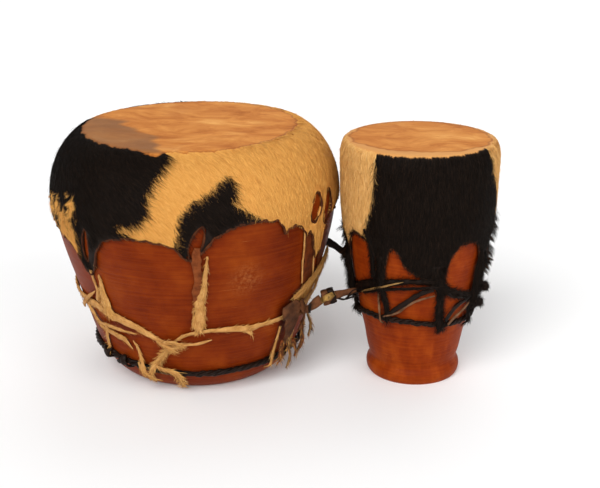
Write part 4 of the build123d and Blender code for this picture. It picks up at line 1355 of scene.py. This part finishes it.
def tuft(drum, name, spots, count, length, shades, seed, lift, clumps):
    """Wisps in pointed clumps that stand away from a coat, at spots of azimuth, height, spread and lean."""
    generator = np.random.default_rng(seed)
    chosen = np.array(spots)[generator.integers(0, len(spots), clumps)]
    azimuth = chosen[:, 0] + generator.normal(0, 1, clumps) * chosen[:, 2] / 2.2
    height = chosen[:, 1] + generator.normal(0, 1, clumps) * chosen[:, 2]
    lean = np.radians(chosen[:, 3] + generator.normal(0, 24, clumps))
    long = length * generator.uniform(0.5, 1.2, clumps)
    up = lift * generator.uniform(0.2, 1.0, clumps)
    which = generator.integers(0, clumps, count)
    spread = generator.normal(0, 1, (2, count))
    reach = generator.uniform(0.6, 1.1, count)

    def at(share):
        down = drum.down_to(height[which]) + 0.0013 * spread[1] * (1 - 0.7 * share)
        along = long[which] * reach * share
        turned = azimuth[which] + 0.75 * spread[0] * (1 - 0.7 * share)
        turned = turned + np.degrees(along * np.sin(lean[which]) / drum.coat_radius(down))
        return drum.coat(turned, down + along * np.cos(lean[which]), up[which] * share**1.3 + 0.0003)

    root, mid, tip = at(0.0), at(0.5), at(1.0)
    outward = unit((mid - (drum.x, 0, 0)) * (1, 1, 0))
    side = unit(np.cross(tip - root, outward))
    width = generator.uniform(*TUFT_WIDTH, count)
    shade = pick_shades(generator, count, shades)
    fit(ribbons(name, root, mid, tip, side, width, shade, shades), drum, "cowhide")


BIG_TUFTS = [
    (-40, 176, 3, -15), (-41, 169, 3, 0), (-44, 166, 3, 10), (-50, 167, 4, -20), (-43, 159, 3, 10),
    (-41, 153, 2.5, 5), (-48, 160, 4, 15), (-54, 167, 4, -35), (-47, 156, 3, 10), (-60, 165, 4, -25),
    (-66, 160, 4, -10),
]
tuft(big, "big_cream_wisps", BIG_TUFTS, 2700, 0.0095, CREAM_SHADES, 31, 0.003, 300)
SMALL_WISPS = [
    (82, 142, 6, 0), (78, 128, 4, 20), (75, 118, 3, 30), (86, 152, 5, 0), (72, 114, 3, 30), (92, 146, 5, 0),
    (-72, 124, 3, -10), (-70, 117, 3, 0), (-69, 112, 3, 0), (-71, 120, 3, -10), (-76, 136, 4, 0),
]
tuft(small, "small_dark_wisps", SMALL_WISPS, 3000, 0.013, WISP_SHADES, 33, 0.008, 130)

# ---- riding

for drum, skin, coats in ((big, big_skin, big_coats), (small, small_skin, small_coats)):
    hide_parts(drum.name + "_hide")
    across = 2 * (drum.edge_radius + float(np.max(drum.down_to(edge_height(drum, np.arange(360.0))))))
    for piece in [skin, *coats]:
        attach(piece, drum.body)

# ---- floor and light

FLOOR_HALF = 8
FLOOR_COLOUR = (0.93, 0.93, 0.93)
# What the sky gives to everything but the camera, which sees it at full strength
SKY_LIGHT = 0.5


def make_floor():
    mesh = bpy.data.meshes.new("floor")
    h = FLOOR_HALF
    mesh.from_pydata([(-h, -h, 0), (h, -h, 0), (h, h, 0), (-h, h, 0)], [], [(0, 1, 2, 3)])
    floor = bpy.data.objects.new("floor", mesh)
    mesh.materials.append(Nodes("floor").surface(FLOOR_COLOUR, 1.0, 0.0))
    bpy.context.collection.objects.link(floor)


def add_sun(name, source, strength, softness):
    """A soft lamp that shines from the direction of source; softness is its angle in degrees."""
    data = bpy.data.lights.new(name, "SUN")
    data.energy = strength
    data.angle = math.radians(softness)
    lamp = bpy.data.objects.new(name, data)
    lamp.rotation_euler = Vector(source).to_track_quat("Z", "Y").to_euler()
    bpy.context.collection.objects.link(lamp)


make_floor()
add_sun("key", (-0.3, -1.0, 0.85), 2.2, 40)
add_sun("fill", (1.0, -0.8, 0.45), 1.15, 50)
add_sun("back", (0.2, 1.0, 1.1), 0.5, 50)
world = bpy.data.worlds.new("studio")
world.use_nodes = True
sky = world.node_tree.nodes["Background"]
sky.inputs["Color"].default_value = (1, 1, 1, 1)
seen = world.node_tree.nodes.new("ShaderNodeLightPath").outputs["Is Camera Ray"]
level = world.node_tree.nodes.new("ShaderNodeMapRange")
level.inputs["To Min"].default_value = SKY_LIGHT
world.node_tree.links.new(seen, level.inputs["Value"])
world.node_tree.links.new(level.outputs["Result"], sky.inputs["Strength"])
bpy.context.scene.world = world
